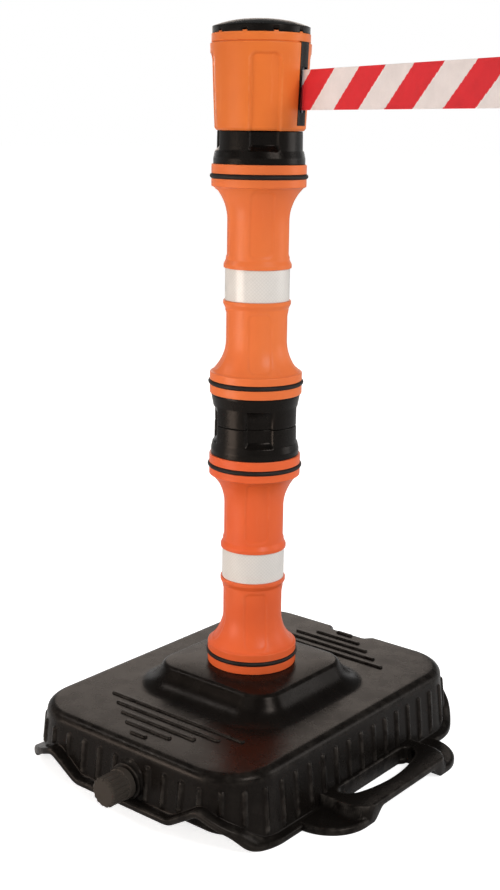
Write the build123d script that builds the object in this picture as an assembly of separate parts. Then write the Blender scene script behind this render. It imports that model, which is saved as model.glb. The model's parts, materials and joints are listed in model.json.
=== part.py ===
from build123d import *
from math import atan, cos, degrees, pi, radians, sin, sqrt
import os

# A free-standing belt barrier post. Millimetres, +Z up from the floor, +X towards the carry handle,
# the post's axis at X = Y = 0.

# Base tank
base_width = 406.0  # across X at the floor, between the flat walls
base_length = 545.0  # along Y
base_corner = 84.0
deck_height = 98.0
deck_round = 13.0
wall_lean = 10.5  # how far the walls lean in between the floor and the deck
base_wall = 4.5
ballast_level = 80.0

# Tray under the tank that stands on the floor, set in behind the lip
tray_inset = 34.0
tray_round = 9.0
tray_top = 62.0

# Ribs on the tank's walls
rib_pitch = 29.4
rib_radius = 4.6
rib_proud = 3.2
rib_top = 79.0
corner_ribs = 4
corner_rib_first = 14.0  # degrees
corner_rib_step = 21.9  # degrees

# Lip round the foot of the walls: on the floor along the sides, arched beside a toe in the middle of each end
lip_thick = 9.0
lip_reach = 10.0
lip_inset = 8.0
lip_round = 3.0
toe_half = 84.0
toe_shift = 9.0  # of the toe and its arches, towards +X
toe_height = 22.5
arch_place = 131.0  # from the toe's middle to the top of an arch
arch_height = 52.0
knee_width = 20.0  # from the wall to where the arch steepens
knee_height = 27.0
foot_width = 3.0
lip_bend = 12.0

# Hub that carries the post
hub_height = 35.0
hub_top_x = 202.0
hub_top_y = 174.0
hub_top_corner = 28.0
hub_spread = 48.0  # how much wider the hub is at its foot
hub_foot_corner = 52.0
hub_round = 14.0
hub_blend = 20.0

# Grip lines on the deck
line_count = 5
line_margin = 37.0  # from the wall's foot to the shortest line
line_pitch = 18.3
line_longest = 242.0
line_step = 53.0
line_width = 9.0
line_proud = 2.0
line_round = 1.4

# Carry handle on the +X side
handle_reach = 68.0  # from the wall to the bar's outer edge
handle_half = 163.0
handle_shift = 10.0
handle_plate = 10.0
handle_thick = 26.0
handle_step = 52.0  # from the plate's end to the raised bar's end
handle_round = 62.0
handle_bar_round = 34.0
handle_edge = 6.0
handle_gap_near = 4.0  # from the wall to the finger gap, which cuts the lip back
handle_gap_wide = 38.0
handle_gap_half = 84.0
handle_gap_round = 15.0
handle_arch = 16.5  # floor clearance under the bar
handle_arch_half = 71.0

# Filler neck and cap on the -Y side
filler_height = 49.0
filler_shift = 12.0  # from the middle of the end, towards +X
neck_radius = 14.5
neck_bore = 9.0
neck_length = 40.0
neck_collar = 25.0
neck_collar_thick = 6.0
cap_radius = 21.3
cap_grip_radius = 20.2
cap_gap = 2.0
cap_end = 5.0
cap_edge = 2.5
cap_clear = 0.4
cap_ring = 9.0
cap_flutes = 16
cap_flute_radius = 2.6
cap_flute_depth = 1.3
gasket_thick = 2.0

# Post section
post_length = 308.0
flange_radius = 63.5
flange_height = 29.0
flange_edge = 0.8
flange_step = 1.5
flare_height = 43.5
flare_reach = 16.8
shaft_radius = 43.2
post_wall = 5.0
end_wall = 8.0
tube_bore = 36.5
flute_count = 4
flute_width = 31.0
flute_depth = 1.4
flute_margin = 5.0
flute_corner = 7.0

# Rubber ring in each flange
ring_inset = 15.5
ring_section = 3.25
ring_proud = 2.2
ring_clear = 0.05

# White band and the beads that frame it
band_centre = 149.5
band_height = 43.5
band_thick = 0.8
band_radius = 44.0
bead_radius = 46.2
bead_flat = 5.0
bead_slope = 6.0

# Twist-lock collars
collar_height = 43.0
collar_wide = 61.2
collar_shoulder = 59.4
collar_shoulder_height = 15.0
collar_step = 1.0
collar_waist = 57.0
collar_mouth = 56.0
collar_mouth_height = 22.0
collar_bore = 29.0
plug_depth = 12.0
plug_clear = 0.1
grip_count = 4
grip_width = 38.0
grip_tall_top = 29.0
grip_tall_bottom = 26.0
grip_floor = 50.5
grip_corner = 8.0

# Bayonet
spigot_radius = 36.0
spigot_height = 16.0
lug_count = 4
lug_reach = 3.6
lug_height = 5.0
lug_angle = 34.0
entry_angle = 40.0
stop_angle = 6.0
stop_gap = 0.6
twist_angle = 45.0
bayonet_clear = 0.4

# Socket in the hub
socket_clear = 0.4
seat_gap = 0.3
socket_floor = 9.0
spigot_plate = 4.0
spigot_plate_radius = 58.0
screw_count = 4
screw_radius = 2.5
screw_head_radius = 4.5
screw_head = 3.0
screw_clear = 0.1
spigot_screw_length = 10.0
spigot_screw_circle = 48.0

# Head housing
housing_height = 127.0
housing_top_radius = 66.4
housing_foot_radius = 62.4
housing_foot_round = 3.0
rim_height = 10.0
rim_radius = 64.8
rim_groove = 1.2
panel_width = 40.0
panel_depth = 3.6
panel_height = 96.0
panel_corner = 8.0
cavity_radius = 54.5
head_floor = 4.0
socket_lining = 54.0
head_screw_length = 19.0
head_screw_circle = 47.0

# Top cap
lid_height = 14.0
lid_radius = 64.0
lid_rim = 6.0
lid_cone = 4.5
lid_top_radius = 52.0
lid_skirt_depth = 7.0
lid_skirt_wall = 3.0
lid_skirt_clear = 0.15
lid_boss_radius = 10.0
lid_boss_depth = 12.0
lid_shell = 3.5
tab_count = 10
tab_width = 6.0
tab_height = 3.6
tab_depth = 3.5
tab_clear = 0.3
tab_first = -70.0  # degrees

# Belt, reel and spring
belt_height = 50.0
belt_thick = 1.0
belt_middle = 51.5  # above the head's foot
belt_angle = -24.8  # the pulled belt's heading from +X, in degrees
belt_length = 445.0
swing_radius = 66.6
lead_gap = 0.3
roll_radius = 31.0
roll_clear = 0.3
roll_turns = 11
axle_radius = 5.0
axle_clear = 0.05
bush_radius = 7.0
bush_end_gap = 0.2
drum_radius = 12.0
reel_flange = 46.0
reel_flange_thick = 2.5
reel_side_gap = 1.6
reel_floor_gap = 1.2
spring_cup_radius = 43.0
spring_cup_wall = 3.0
spring_height = 18.0
spring_thick = 0.7
spring_turns = 9
spring_gap = 0.3
cover_thick = 2.5

# Belt slot
slot_angle = 7.5  # degrees
slot_foot = 7.0  # above the head's foot
slot_height = 104.0
bezel_width = 19.0
bezel_proud = 0.8
bezel_clear = 0.1
mouth_width = 13.0
mouth_gap = 3.5
guide_radius = 2.2
guide_gap = 0.3
guide_back = 8.0
guide_seat = 5.0

# Belt end fitting
clip_length = 24.0
clip_thick = 12.0
clip_height = 58.0
clip_round = 4.0
clip_neck = 8.0
clip_neck_height = 26.0
clip_neck_thick = 8.0
clip_plate_thick = 4.0
clip_plate_wide = 34.0
clip_plate_tall = 40.0
clip_plate_round = 5.0
clip_pin_radius = 2.0
clip_pin_inset = 9.0

# Cuts run this far past the faces that they open
overrun = 1.0

# Stack of the pieces, from the floor up
hub_top = deck_height + hub_height
seat_level = hub_top - collar_height - seat_gap
socket_depth_level = seat_level - spigot_plate
seam_level = hub_top + post_length + collar_height
upper_post_foot = seam_level + collar_height
head_foot = upper_post_foot + post_length + collar_height
lid_foot = head_foot + housing_height
head_floor_low = head_foot + spigot_height + bayonet_clear
head_floor_top = head_floor_low + head_floor
belt_low = head_foot + belt_middle - belt_height / 2
belt_high = belt_low + belt_height
reel_low = head_floor_top + reel_floor_gap
upper_flange_low = belt_high + reel_side_gap
cup_floor = upper_flange_low + reel_flange_thick
cup_top = cup_floor + spring_height + 2 * spring_gap

# Belt line: a tangent of the roll that heads out through the slot
belt_offset = roll_radius + roll_clear + belt_thick / 2
swing_run = sqrt(swing_radius**2 - belt_offset**2)


def disc(radius, low, high):
    return Pos(0, 0, (low + high) / 2) * Cylinder(radius, high - low)


def ring(inner, outer, low, high):
    return disc(outer, low, high) - disc(inner, low, high)


def ring_sector(inner, outer, low, high, centre, width):
    section = Pos((inner + outer) / 2, (low + high) / 2) * Rectangle(outer - inner, high - low)
    return Rot(0, 0, centre - width / 2) * revolve(Plane.XZ * section, Axis.Z, width)


def around(piece, count, first=0.0):
    return [Rot(0, 0, first + 360 * i / count) * piece for i in range(count)]


def turned(*edges):
    """A solid turned about Z from the edges of its half section."""
    return revolve(Plane.XZ * make_face(edges), Axis.Z)


def turned_points(points):
    return turned(*Polyline(*points, close=True).edges())


def radial_window(width, low, high, corner, round_low, round_high, reach):
    """A prism from the axis outwards along +X, rounded at the ends that are asked for."""
    window = Pos(0, (low + high) / 2) * Rectangle(width, high - low)
    ends = window.vertices().sort_by(Axis.Y)
    rounded = (ends[:2] if round_low else []) + (ends[2:] if round_high else [])
    return extrude(Plane.YZ * fillet(rounded, corner), reach)


def belt_frame(piece):
    """Places a piece drawn along +X from the roll's tangent point onto the belt's line."""
    return Rot(0, 0, belt_angle) * Pos(0, belt_offset, 0) * piece


def swing_frame(piece):
    """The same for a piece drawn from the point where the belt leaves the head."""
    return belt_frame(Pos(swing_run, 0, 0) * piece)


# Base

def base_outline(out):
    """Outline of the walls at the floor, moved outwards by the given amount."""
    return RectangleRounded(base_width + 2 * out, base_length + 2 * out, base_corner + out)


def lean_at(height):
    """How far the walls have leaned in at a height."""
    return wall_lean * height / deck_height


def wall_block(inset, low, high):
    """Leaning walls as a solid block, or the room inside them when it is set in."""
    foot = Pos(0, 0, low) * base_outline(-inset - lean_at(low))
    top = Pos(0, 0, high) * base_outline(-inset - lean_at(high))
    return loft([foot, top], ruled=True)


def lip_line():
    """Middle of the lip seen from the end, from -X to +X, bent round at each corner."""
    foot = lip_thick / 2
    wall = base_width / 2
    corner = [(wall - knee_width, knee_height), (wall - foot_width, foot), (wall + 2 * lip_reach, foot)]
    right = [(toe_shift + toe_half, toe_height), (toe_shift + arch_place, arch_height), *corner]
    left = [(toe_shift - toe_half, toe_height), (toe_shift - arch_place, arch_height)]
    left += [(-x, z) for x, z in corner]
    return FilletPolyline(*reversed(left), *right, radius=lip_bend)


def below_lip(lift):
    """Everything under the lip's middle, raised by the given amount."""
    line = Pos(0, lift) * lip_line()
    start, end = line @ 0, line @ 1
    depth = -2 * lip_thick
    outline = [line, Polyline(start, (start.X, depth), (end.X, depth), end)]
    return extrude(Plane.XZ * make_face(outline), base_length, both=True)


def stands_out(point):
    """How far a point lies outside the walls."""
    x = max(abs(point.X) - base_width / 2 + base_corner, 0)
    y = max(abs(point.Y) - base_length / 2 + base_corner, 0)
    return sqrt(x**2 + y**2) - base_corner


def base_lip():
    """Rolled lip that follows the bottom edge of the walls, rounded along its outer face."""
    strip = make_face(lip_line().offset_2d(lip_thick / 2))
    outside = base_outline(lip_reach)
    inside = base_outline(-lip_inset)
    band = extrude(outside - inside, deck_height)
    sides = Box(2 * base_width, base_length - 2 * base_corner, 2 * deck_height)
    ends = (band & extrude(Plane.XZ * strip, base_length, both=True)) - sides
    lip = ends + (band & sides & disc(base_length, 0, lip_thick))
    outer = lip.edges().filter_by(lambda edge: abs(stands_out(edge @ 0.5) - lip_reach) < 0.01)
    return fillet(outer - outer.filter_by(Axis.Z), lip_round)


def wall_ribs():
    """Round-topped ribs, evenly spaced along the sides and stepped round the corners."""
    straight = rib_top - rib_radius
    rib = disc(rib_radius, 0, straight) + Pos(0, 0, straight) * Sphere(rib_radius)
    sink = rib_radius - rib_proud
    rib = Rot(0, -degrees(atan(wall_lean / deck_height)), 0) * rib
    straight_x = base_width / 2 - base_corner
    straight_y = base_length / 2 - base_corner
    places = []
    for i in range(int(straight_x / rib_pitch + 0.5)):
        places += [((i + 0.5) * rib_pitch, base_length / 2 - sink, 90)]
    for i in range(int(straight_y // rib_pitch) + 1):
        places += [(base_width / 2 - sink, i * rib_pitch, 0)]
    for i in range(corner_ribs):
        turn = corner_rib_first + i * corner_rib_step
        reach = base_corner - sink
        places += [(straight_x + reach * cos(radians(turn)), straight_y + reach * sin(radians(turn)), turn)]
    mirrored = {(x, side * y, side * turn) for x, y, turn in places for side in (-1, 1)}
    mirrored |= {(-x, y, 180 - turn) for x, y, turn in mirrored}
    return [Pos(x, y, 0) * Rot(0, 0, turn) * rib for x, y, turn in sorted(mirrored)]


def hub_block(inset, low, high):
    """Tapered hub, or the hollow under it when it is set in from the outside."""
    foot_x = hub_top_x + hub_spread - 2 * inset
    foot_y = hub_top_y + hub_spread - 2 * inset
    foot = RectangleRounded(foot_x, foot_y, hub_foot_corner - inset)
    top = RectangleRounded(hub_top_x - 2 * inset, hub_top_y - 2 * inset, hub_top_corner - inset)
    return loft([Pos(0, 0, low) * foot, Pos(0, 0, high) * top])


def hub_foot(body):
    """Edges where the hub meets the deck."""
    half = Vector(hub_top_x + hub_spread, hub_top_y + hub_spread) / 2
    level = body.edges().filter_by(lambda edge: abs((edge @ 0.5).Z - deck_height) < 0.01)
    return level.filter_by(lambda edge: abs((edge @ 0.5).X) < half.X and abs((edge @ 0.5).Y) < half.Y)


def deck_lines():
    lines = []
    for i in range(line_count):
        bar = extrude(SlotOverall(line_longest - i * line_step, line_width), line_proud)
        bar = fillet(bar.faces().sort_by(Axis.Z)[-1].edges(), line_round)
        place = base_length / 2 - line_margin - (line_count - 1 - i) * line_pitch
        lines += [Pos(0, side * place, deck_height) * bar for side in (-1, 1)]
    return lines


def handle_outline(half, corner):
    near = base_width / 2 - lip_inset
    far = base_width / 2 + handle_reach
    plate = Pos((near + far) / 2, handle_shift) * Rectangle(far - near, 2 * half)
    return fillet(plate.vertices().sort_by(Axis.X)[2:], corner)


def carry_handle():
    """Foot plate with a raised bar, moulded to the +X wall."""
    plate = extrude(handle_outline(handle_half, handle_round), handle_plate)
    bar = extrude(handle_outline(handle_half - handle_step, handle_bar_round), handle_thick)
    bar = fillet(bar.faces().sort_by(Axis.Z)[-1].edges().sort_by(Axis.X)[1:], handle_edge)
    near = base_width / 2 + lip_reach
    arch = Box(handle_reach, 2 * handle_arch_half, 2 * handle_arch)
    return plate + bar - Pos(near + handle_reach / 2, handle_shift) * arch


def finger_gap():
    """The gap between the handle's bar and the wall, cut through the plate and the lip's edge."""
    middle = base_width / 2 + handle_gap_near + handle_gap_wide / 2
    gap = Pos(middle, handle_shift) * RectangleRounded(handle_gap_wide, 2 * handle_gap_half, handle_gap_round)
    return extrude(gap, handle_thick + overrun, both=True)


def on_end_wall(piece):
    """Lays a piece drawn upright over the -Y wall at the filler's place."""
    wall = base_length / 2 - lean_at(filler_height)
    return Pos(filler_shift, -wall, filler_height) * Rot(90, 0, 0) * piece


def filler_neck():
    neck = disc(neck_radius, -base_wall, neck_length)
    return on_end_wall(neck + disc(neck_collar, -base_wall, neck_collar_thick))


def tray_block(inset):
    """The part of the tank that reaches down to the floor."""
    outline = base_outline(-tray_inset - inset)
    block = Pos(0, 0, inset) * extrude(outline, tray_top - inset)
    return fillet(block.faces().sort_by(Axis.Z)[0].edges(), tray_round)


def tank_hollow():
    """Inside of the tank, with the hub's socket cup left standing in it."""
    room = wall_block(base_wall, 0, deck_height - base_wall)
    room = room - below_lip(base_wall) + tray_block(base_wall)
    hub = hub_block(2 * base_wall, deck_height - 2 * base_wall, hub_top - base_wall)
    cup = disc(collar_wide + socket_clear + base_wall, socket_depth_level - socket_floor, hub_top)
    return room + hub - cup


def base_shell():
    tank = wall_block(0, 0, deck_height)
    tank = fillet(tank.faces().sort_by(Axis.Z)[-1].edges(), deck_round)
    hub = hub_block(0, deck_height - base_wall, hub_top)
    hub = fillet(hub.faces().sort_by(Axis.Z)[-1].edges(), hub_round)
    tank = fillet(hub_foot(tank + hub), hub_blend)
    shell = tank + wall_ribs() - below_lip(0) + tray_block(0)
    shell = shell + [base_lip(), carry_handle(), filler_neck()] + deck_lines()
    socket = disc(collar_wide + socket_clear, socket_depth_level, hub_top + overrun)
    filler_hole = on_end_wall(disc(neck_bore, -2 * base_wall, neck_length + overrun))
    return shell - finger_gap() - tank_hollow() - socket - filler_hole - spigot_screws()


def ballast_water():
    return tank_hollow() & disc(base_length, 0, ballast_level)


def screw(length, extra=0.0):
    """Countersunk screw pointing down, with its head flush at Z = 0."""
    head = Pos(0, 0, -screw_head / 2) * Cone(screw_radius + extra, screw_head_radius + extra, screw_head)
    return head + disc(screw_radius + extra, -length - extra, -screw_head / 2)


def spigot_screws(extra=0.0):
    placed = Pos(spigot_screw_circle, 0, seat_level) * screw(spigot_screw_length, extra)
    return around(placed, screw_count, 45)


def base_spigot():
    plate = disc(spigot_plate_radius, socket_depth_level, seat_level)
    hollow = disc(collar_bore, seat_level, seat_level + spigot_height + overrun)
    return plate + Pos(0, 0, seat_level) * bayonet_male() - hollow - spigot_screws(screw_clear)


def filler_cap():
    """Screw cap with a plain ring at its open end and a fluted grip."""
    low = neck_collar_thick + cap_gap
    inner_end = neck_length + gasket_thick
    high = inner_end + cap_end
    body = disc(cap_radius, low, low + cap_ring) + disc(cap_grip_radius, low, high)
    body = chamfer(body.faces().sort_by(Axis.Z)[-1].edges(), cap_edge)
    flute = Pos(cap_grip_radius + cap_flute_radius - cap_flute_depth, 0) * disc(
        cap_flute_radius, low + cap_ring, high + overrun
    )
    hollow = disc(neck_radius + cap_clear, low - overrun, inner_end)
    return on_end_wall(body - hollow - around(flute, cap_flutes))


def cap_gasket():
    return on_end_wall(ring(neck_bore, neck_radius, neck_length, neck_length + gasket_thick))


# Bayonet

def bayonet_male():
    """Spigot with lugs, standing on Z = 0."""
    spigot = disc(spigot_radius, 0, spigot_height)
    wide = spigot_radius + lug_reach
    lug = ring_sector(collar_bore, wide, spigot_height - lug_height, spigot_height, 0, lug_angle)
    return spigot + around(lug, lug_count)


def bayonet_female():
    """Space that a female bayonet leaves open above its mating face at Z = 0."""
    bore = spigot_radius + bayonet_clear
    wide = spigot_radius + lug_reach + bayonet_clear
    groove_low = spigot_height - lug_height - bayonet_clear
    roof = spigot_height + bayonet_clear
    entry = ring_sector(collar_bore, wide, -overrun, groove_low, twist_angle, entry_angle)
    stop_centre = lug_angle / 2 + stop_gap + stop_angle / 2
    stop = ring_sector(bore, wide + overrun, groove_low - overrun, roof + overrun, stop_centre, stop_angle)
    groove = disc(wide, groove_low, roof) - around(stop, lug_count)
    return disc(bore, -overrun, roof) + groove + around(entry, lug_count)


# Post section

def post_body(inset, foot, shaft_points):
    """Turned body with a flange and a flare at each end and the given points on the shaft."""
    flange = flange_radius - inset
    shaft = shaft_radius - inset
    flare_foot = flange_height + flange_step
    low = [(0, foot), (flange, foot), (flange, flange_height - inset), (shaft + flare_reach, flare_foot)]
    neck = (shaft, flare_foot + flare_height)
    high = [(r, post_length - z) for r, z in low]
    top_neck = (shaft, post_length - neck[1])
    return turned(
        Polyline(*low),
        TangentArc(neck, low[-1], tangent=(0, -1)),
        Polyline(neck, *shaft_points, top_neck),
        TangentArc(top_neck, high[-1], tangent=(0, 1)),
        Polyline(*high),
        Line(low[0], high[0]),
    )


def bead_points():
    """Two beads with a sunk seat for the band between them."""
    low = band_centre - band_height / 2
    high = band_centre + band_height / 2
    seat = band_radius - band_thick
    return [
        (shaft_radius, low - bead_flat - bead_slope),
        (bead_radius, low - bead_flat),
        (bead_radius, low),
        (seat, low),
        (seat, high),
        (bead_radius, high),
        (bead_radius, high + bead_flat),
        (shaft_radius, high + bead_flat + bead_slope),
    ]


def flute_cutters():
    """Shallow panels down both halves of the shaft, on the four diagonals."""
    core = post_body(flute_depth, 0, [])
    margin = bead_flat + bead_slope + flute_margin
    spans = [
        (flange_height + flute_margin, band_centre - band_height / 2 - margin),
        (band_centre + band_height / 2 + margin, post_length - flange_height - flute_margin),
    ]
    cutters = []
    for low, high in spans:
        window = radial_window(flute_width, low, high, flute_corner, True, True, 2 * flange_radius)
        cutters += around(window - core, flute_count, 45)
    return cutters


def ring_seat(extra=0.0):
    """One rubber ring, or the groove for it, at Z = 0."""
    return Torus(flange_radius + ring_proud - ring_section, ring_section + extra)


def post_tube():
    body = post_body(0, 0, bead_points())
    ends = body.faces().filter_by(GeomType.PLANE).sort_by(Axis.Z)
    body = chamfer([ends[0].edges()[0], ends[-1].edges()[0]], flange_edge)
    hollow = post_body(flute_depth + post_wall, end_wall, [])
    grooves = [Pos(0, 0, z) * ring_seat(ring_clear) for z in (ring_inset, post_length - ring_inset)]
    return body - flute_cutters() - hollow - disc(tube_bore, -overrun, post_length + overrun) - grooves


def post_band():
    low = band_centre - band_height / 2
    return ring(band_radius - band_thick, band_radius, low, low + band_height)


def grip_cutters(low, high, round_low, round_high):
    window = radial_window(grip_width, low, high, grip_corner, round_low, round_high, 2 * collar_wide)
    return around(window - disc(grip_floor, low - overrun, high + overrun), grip_count, 45)


def top_collar():
    """Stands on the tube's top face at Z = 0, with its plug below and the male bayonet above."""
    plug = tube_bore - plug_clear
    outside = turned_points([
        (0, -plug_depth),
        (plug, -plug_depth),
        (plug, 0),
        (collar_wide, 0),
        (collar_shoulder, collar_shoulder_height),
        (collar_waist, collar_shoulder_height + collar_step),
        (collar_waist, collar_height),
        (0, collar_height),
    ])
    hollow = disc(collar_bore, -plug_depth - overrun, collar_height + spigot_height + overrun)
    grips = grip_cutters(collar_height - grip_tall_top, collar_height + grip_corner, True, False)
    return outside - grips + Pos(0, 0, collar_height) * bayonet_male() - hollow


def bottom_collar():
    """Mating face at Z = 0, tube's foot at the collar's height, plug above it."""
    plug = tube_bore - plug_clear
    outside = turned_points([
        (0, 0),
        (collar_mouth, 0),
        (collar_mouth, collar_mouth_height),
        (collar_wide, collar_height - 2 * collar_step),
        (collar_wide, collar_height),
        (plug, collar_height),
        (plug, collar_height + plug_depth),
        (0, collar_height + plug_depth),
    ])
    hollow = disc(collar_bore, -overrun, collar_height + plug_depth + overrun)
    grips = grip_cutters(-grip_corner, grip_tall_bottom, False, True)
    return outside - grips - bayonet_female() - hollow


# Head

def housing_outline(inset):
    """Half section of the housing: rounded foot, tapered wall, groove and rim."""
    wall_top = housing_height - rim_height
    foot = housing_foot_radius - inset
    rim = rim_radius - inset
    return [
        (0, 0),
        (foot - housing_foot_round, 0),
        (foot, housing_foot_round),
        (housing_top_radius - inset, wall_top - rim_groove),
        (rim - rim_groove, wall_top - rim_groove / 2),
        (rim - rim_groove, wall_top),
        (rim, wall_top + rim_groove / 2),
        (rim, housing_height),
        (0, housing_height),
    ]


def in_head(piece):
    return Pos(0, 0, head_foot) * piece


def slot_block(back, width, low, high):
    """Upright block across the belt slot, from the given radius outwards."""
    reach = 2 * swing_radius - back
    block = Pos(back + reach / 2, 0, (low + high) / 2) * Box(reach, width, high - low)
    return Rot(0, 0, slot_angle) * block


def lid_tabs(extra):
    """Small tabs on the housing's rim, or with a clearance the notches in the lid that show them."""
    depth = tab_depth + 2 * extra
    tab = Box(depth, tab_width + 2 * extra, 2 * (tab_height + extra))
    return around(Pos(lid_radius - tab_depth / 2, 0, lid_foot) * tab, tab_count, tab_first)


def head_screws(extra=0.0):
    placed = Pos(head_screw_circle, 0, head_foot) * Rot(180, 0, 0) * screw(head_screw_length, extra)
    return around(placed, screw_count, 45)


def head_housing():
    wall = in_head(turned_points(housing_outline(0)))
    core = in_head(turned_points(housing_outline(panel_depth)))
    window = in_head(
        radial_window(panel_width, -panel_corner, panel_height, panel_corner, False, True, 2 * lid_radius)
    )
    reel_room = disc(cavity_radius, head_floor_top, lid_foot + overrun)
    socket_room = disc(socket_lining, head_foot - overrun, head_floor_low)
    axle_hole = disc(axle_radius, head_floor_low - overrun, head_floor_top + overrun)
    low = head_foot + slot_foot - bezel_clear
    slot = slot_block(reel_flange, bezel_width + 2 * bezel_clear, low, low + slot_height + 2 * bezel_clear)
    shell = wall - around(window - core, grip_count, 45) - reel_room - socket_room - axle_hole - slot
    tabs = [tab & disc(lid_radius, lid_foot - overrun, lid_foot + tab_height) for tab in lid_tabs(0)]
    return shell - head_screws() + tabs


def slot_bezel():
    """Frame of the belt slot, flush with the tapered wall but for a small stand-off."""
    low = head_foot + slot_foot
    wall = housing_outline(-bezel_proud)[1:4]
    envelope = in_head(turned_points([(0, 0), *wall, (0, housing_height - rim_height - rim_groove)]))
    block = slot_block(cavity_radius, bezel_width, low, low + slot_height)
    mouth = slot_block(reel_flange, mouth_width, belt_low - mouth_gap, belt_high + mouth_gap)
    return (block & envelope) - mouth - guide_pins()


def guide_pins():
    """A steel pin on each side of the belt, seated in the bezel above and below the mouth."""
    low = belt_low - mouth_gap - guide_seat
    high = belt_high + mouth_gap + guide_seat
    reach = belt_thick / 2 + guide_gap + guide_radius
    return [swing_frame(Pos(-guide_back, side * reach) * disc(guide_radius, low, high)) for side in (-1, 1)]


def head_socket():
    """Female bayonet ring let into the head's underside."""
    lining = disc(socket_lining, head_foot, head_floor_low)
    return lining - in_head(bayonet_female()) - head_screws(screw_clear)


def top_cap():
    """Domed lid with a skirt inside the housing and a boss that holds the axle."""
    shoulder = (lid_top_radius, lid_foot + lid_rim + lid_cone)
    top = (0, lid_foot + lid_height)
    outside = turned(
        Polyline(top, (0, lid_foot), (lid_radius, lid_foot), (lid_radius, lid_foot + lid_rim), shoulder),
        TangentArc(top, shoulder, tangent=(1, 0)),
    )
    skirt_outer = cavity_radius - lid_skirt_clear
    skirt_inner = skirt_outer - lid_skirt_wall
    skirt = ring(skirt_inner, skirt_outer, lid_foot - lid_skirt_depth, lid_foot + overrun)
    boss = disc(lid_boss_radius, lid_foot - lid_boss_depth, lid_foot + overrun)
    ceiling = lid_foot + lid_rim + lid_cone - lid_shell
    hollow = ring(lid_boss_radius, skirt_inner, lid_foot - lid_skirt_depth, ceiling)
    axle_seat = disc(axle_radius, lid_foot - lid_boss_depth - overrun, lid_foot)
    return outside + skirt + boss - hollow - axle_seat - lid_tabs(tab_clear)


def reel_axle():
    return disc(axle_radius, head_floor_low, lid_foot)


# Reel

def reel_drum():
    """Drum between two flanges, with the spring's cup on top."""
    lower = disc(reel_flange, reel_low, belt_low - reel_side_gap)
    upper = disc(reel_flange, upper_flange_low, cup_floor)
    cup = ring(spring_cup_radius - spring_cup_wall, spring_cup_radius, cup_floor, cup_top)
    core = disc(drum_radius, reel_low, cup_floor)
    return lower + upper + cup + core - disc(bush_radius, reel_low - overrun, cup_top + overrun)


def reel_bush():
    """Long brass sleeve that runs on the axle between the floor and the lid's boss."""
    low = head_floor_top + bush_end_gap
    high = lid_foot - lid_boss_depth - bush_end_gap
    return ring(axle_radius + axle_clear, bush_radius, low, high)


def spring_cover():
    return ring(bush_radius, spring_cup_radius, cup_top, cup_top + cover_thick)


def wound_strip(inner, outer, turns, thick, height):
    """A strip wound from the inner radius to the outer one in half turns, each a little wider."""
    step = (outer - inner) / (2 * turns)
    edges = []
    for offset in (-thick / 2, thick / 2):
        for i in range(2 * turns):
            side = 1 - 2 * (i % 2)
            centre = -side * step / 2
            radius = inner + (i + 0.5) * step + offset
            start = (centre + side * radius, 0)
            end = (centre - side * radius, 0)
            edges += [ThreePointArc(start, (centre, -side * radius), end)]
    edges += [Line((end - thick / 2, 0), (end + thick / 2, 0)) for end in (inner, outer)]
    return extrude(make_face(edges), height)


def least_gap(inner, outer, turns, thick):
    """Least gap between neighbouring turns of such a strip, measured on points."""
    per_half = 12
    step = (outer - inner) / (2 * turns)
    points = []
    for i in range(2 * turns):
        side = 1 - 2 * (i % 2)
        radius = inner + (i + 0.5) * step
        for j in range(per_half):
            turn = pi * j / per_half
            points += [Vector(side * (radius * cos(turn) - step / 2), -side * radius * sin(turn))]
    pairs = [(a, b) for i, a in enumerate(points) for b in points[i + per_half : i + 3 * per_half]]
    return min((a - b).length for a, b in pairs) - thick


def spring_radii():
    inner = bush_radius + spring_gap + spring_thick / 2
    outer = spring_cup_radius - spring_cup_wall - spring_gap - spring_thick / 2
    return inner, outer


def power_spring():
    strip = wound_strip(*spring_radii(), spring_turns, spring_thick, spring_height)
    return Pos(0, 0, cup_floor + spring_gap) * strip


def roll_radii():
    return drum_radius + roll_clear + belt_thick / 2, roll_radius - belt_thick / 2


def belt_roll():
    """Belt wound on the drum, with its outer end where the lead leaves it."""
    strip = wound_strip(*roll_radii(), roll_turns, belt_thick, belt_height)
    return Pos(0, 0, belt_low) * Rot(0, 0, belt_angle + 90) * strip


# Belt

def belt_lead():
    run = swing_run - belt_thick / 2 - lead_gap
    return belt_frame(Pos(run / 2, 0, belt_low + belt_height / 2) * Box(run, belt_thick, belt_height))


def belt_strip():
    """The pulled belt, rounded where it hinges at the slot."""
    outline = Pos(belt_length / 2, 0) * Rectangle(belt_length, belt_thick) + Circle(belt_thick / 2)
    return swing_frame(Pos(0, 0, belt_low) * extrude(outline, belt_height))


def clip_pin():
    middle = (belt_low + belt_high) / 2
    place = belt_length + clip_pin_inset
    pin = disc(clip_pin_radius, middle - clip_height / 2, middle + clip_height / 2)
    return swing_frame(Pos(place, 0) * pin)


def belt_clip():
    """End fitting: a body that grips the belt, a neck and a flat plate that slides into a receiver."""
    middle = (belt_low + belt_high) / 2
    body = Box(clip_length, clip_thick, clip_height)
    body = fillet(body.edges().filter_by(Axis.Z) + body.edges().filter_by(Axis.X), clip_round)
    neck_place = clip_length / 2 + clip_neck / 2
    neck = Pos(neck_place, 0) * Box(clip_neck + 2 * clip_round, clip_neck_thick, clip_neck_height)
    plate = extrude(RectangleRounded(clip_plate_wide, clip_plate_tall, clip_plate_round), clip_plate_thick)
    plate = Pos(clip_length / 2 + clip_neck, 0) * Rot(0, 90, 0) * Rot(0, 0, 90) * plate
    fitting = Pos(belt_length + clip_length / 2, 0, middle) * (body + neck + plate)
    return swing_frame(fitting) - clip_pin()


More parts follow.
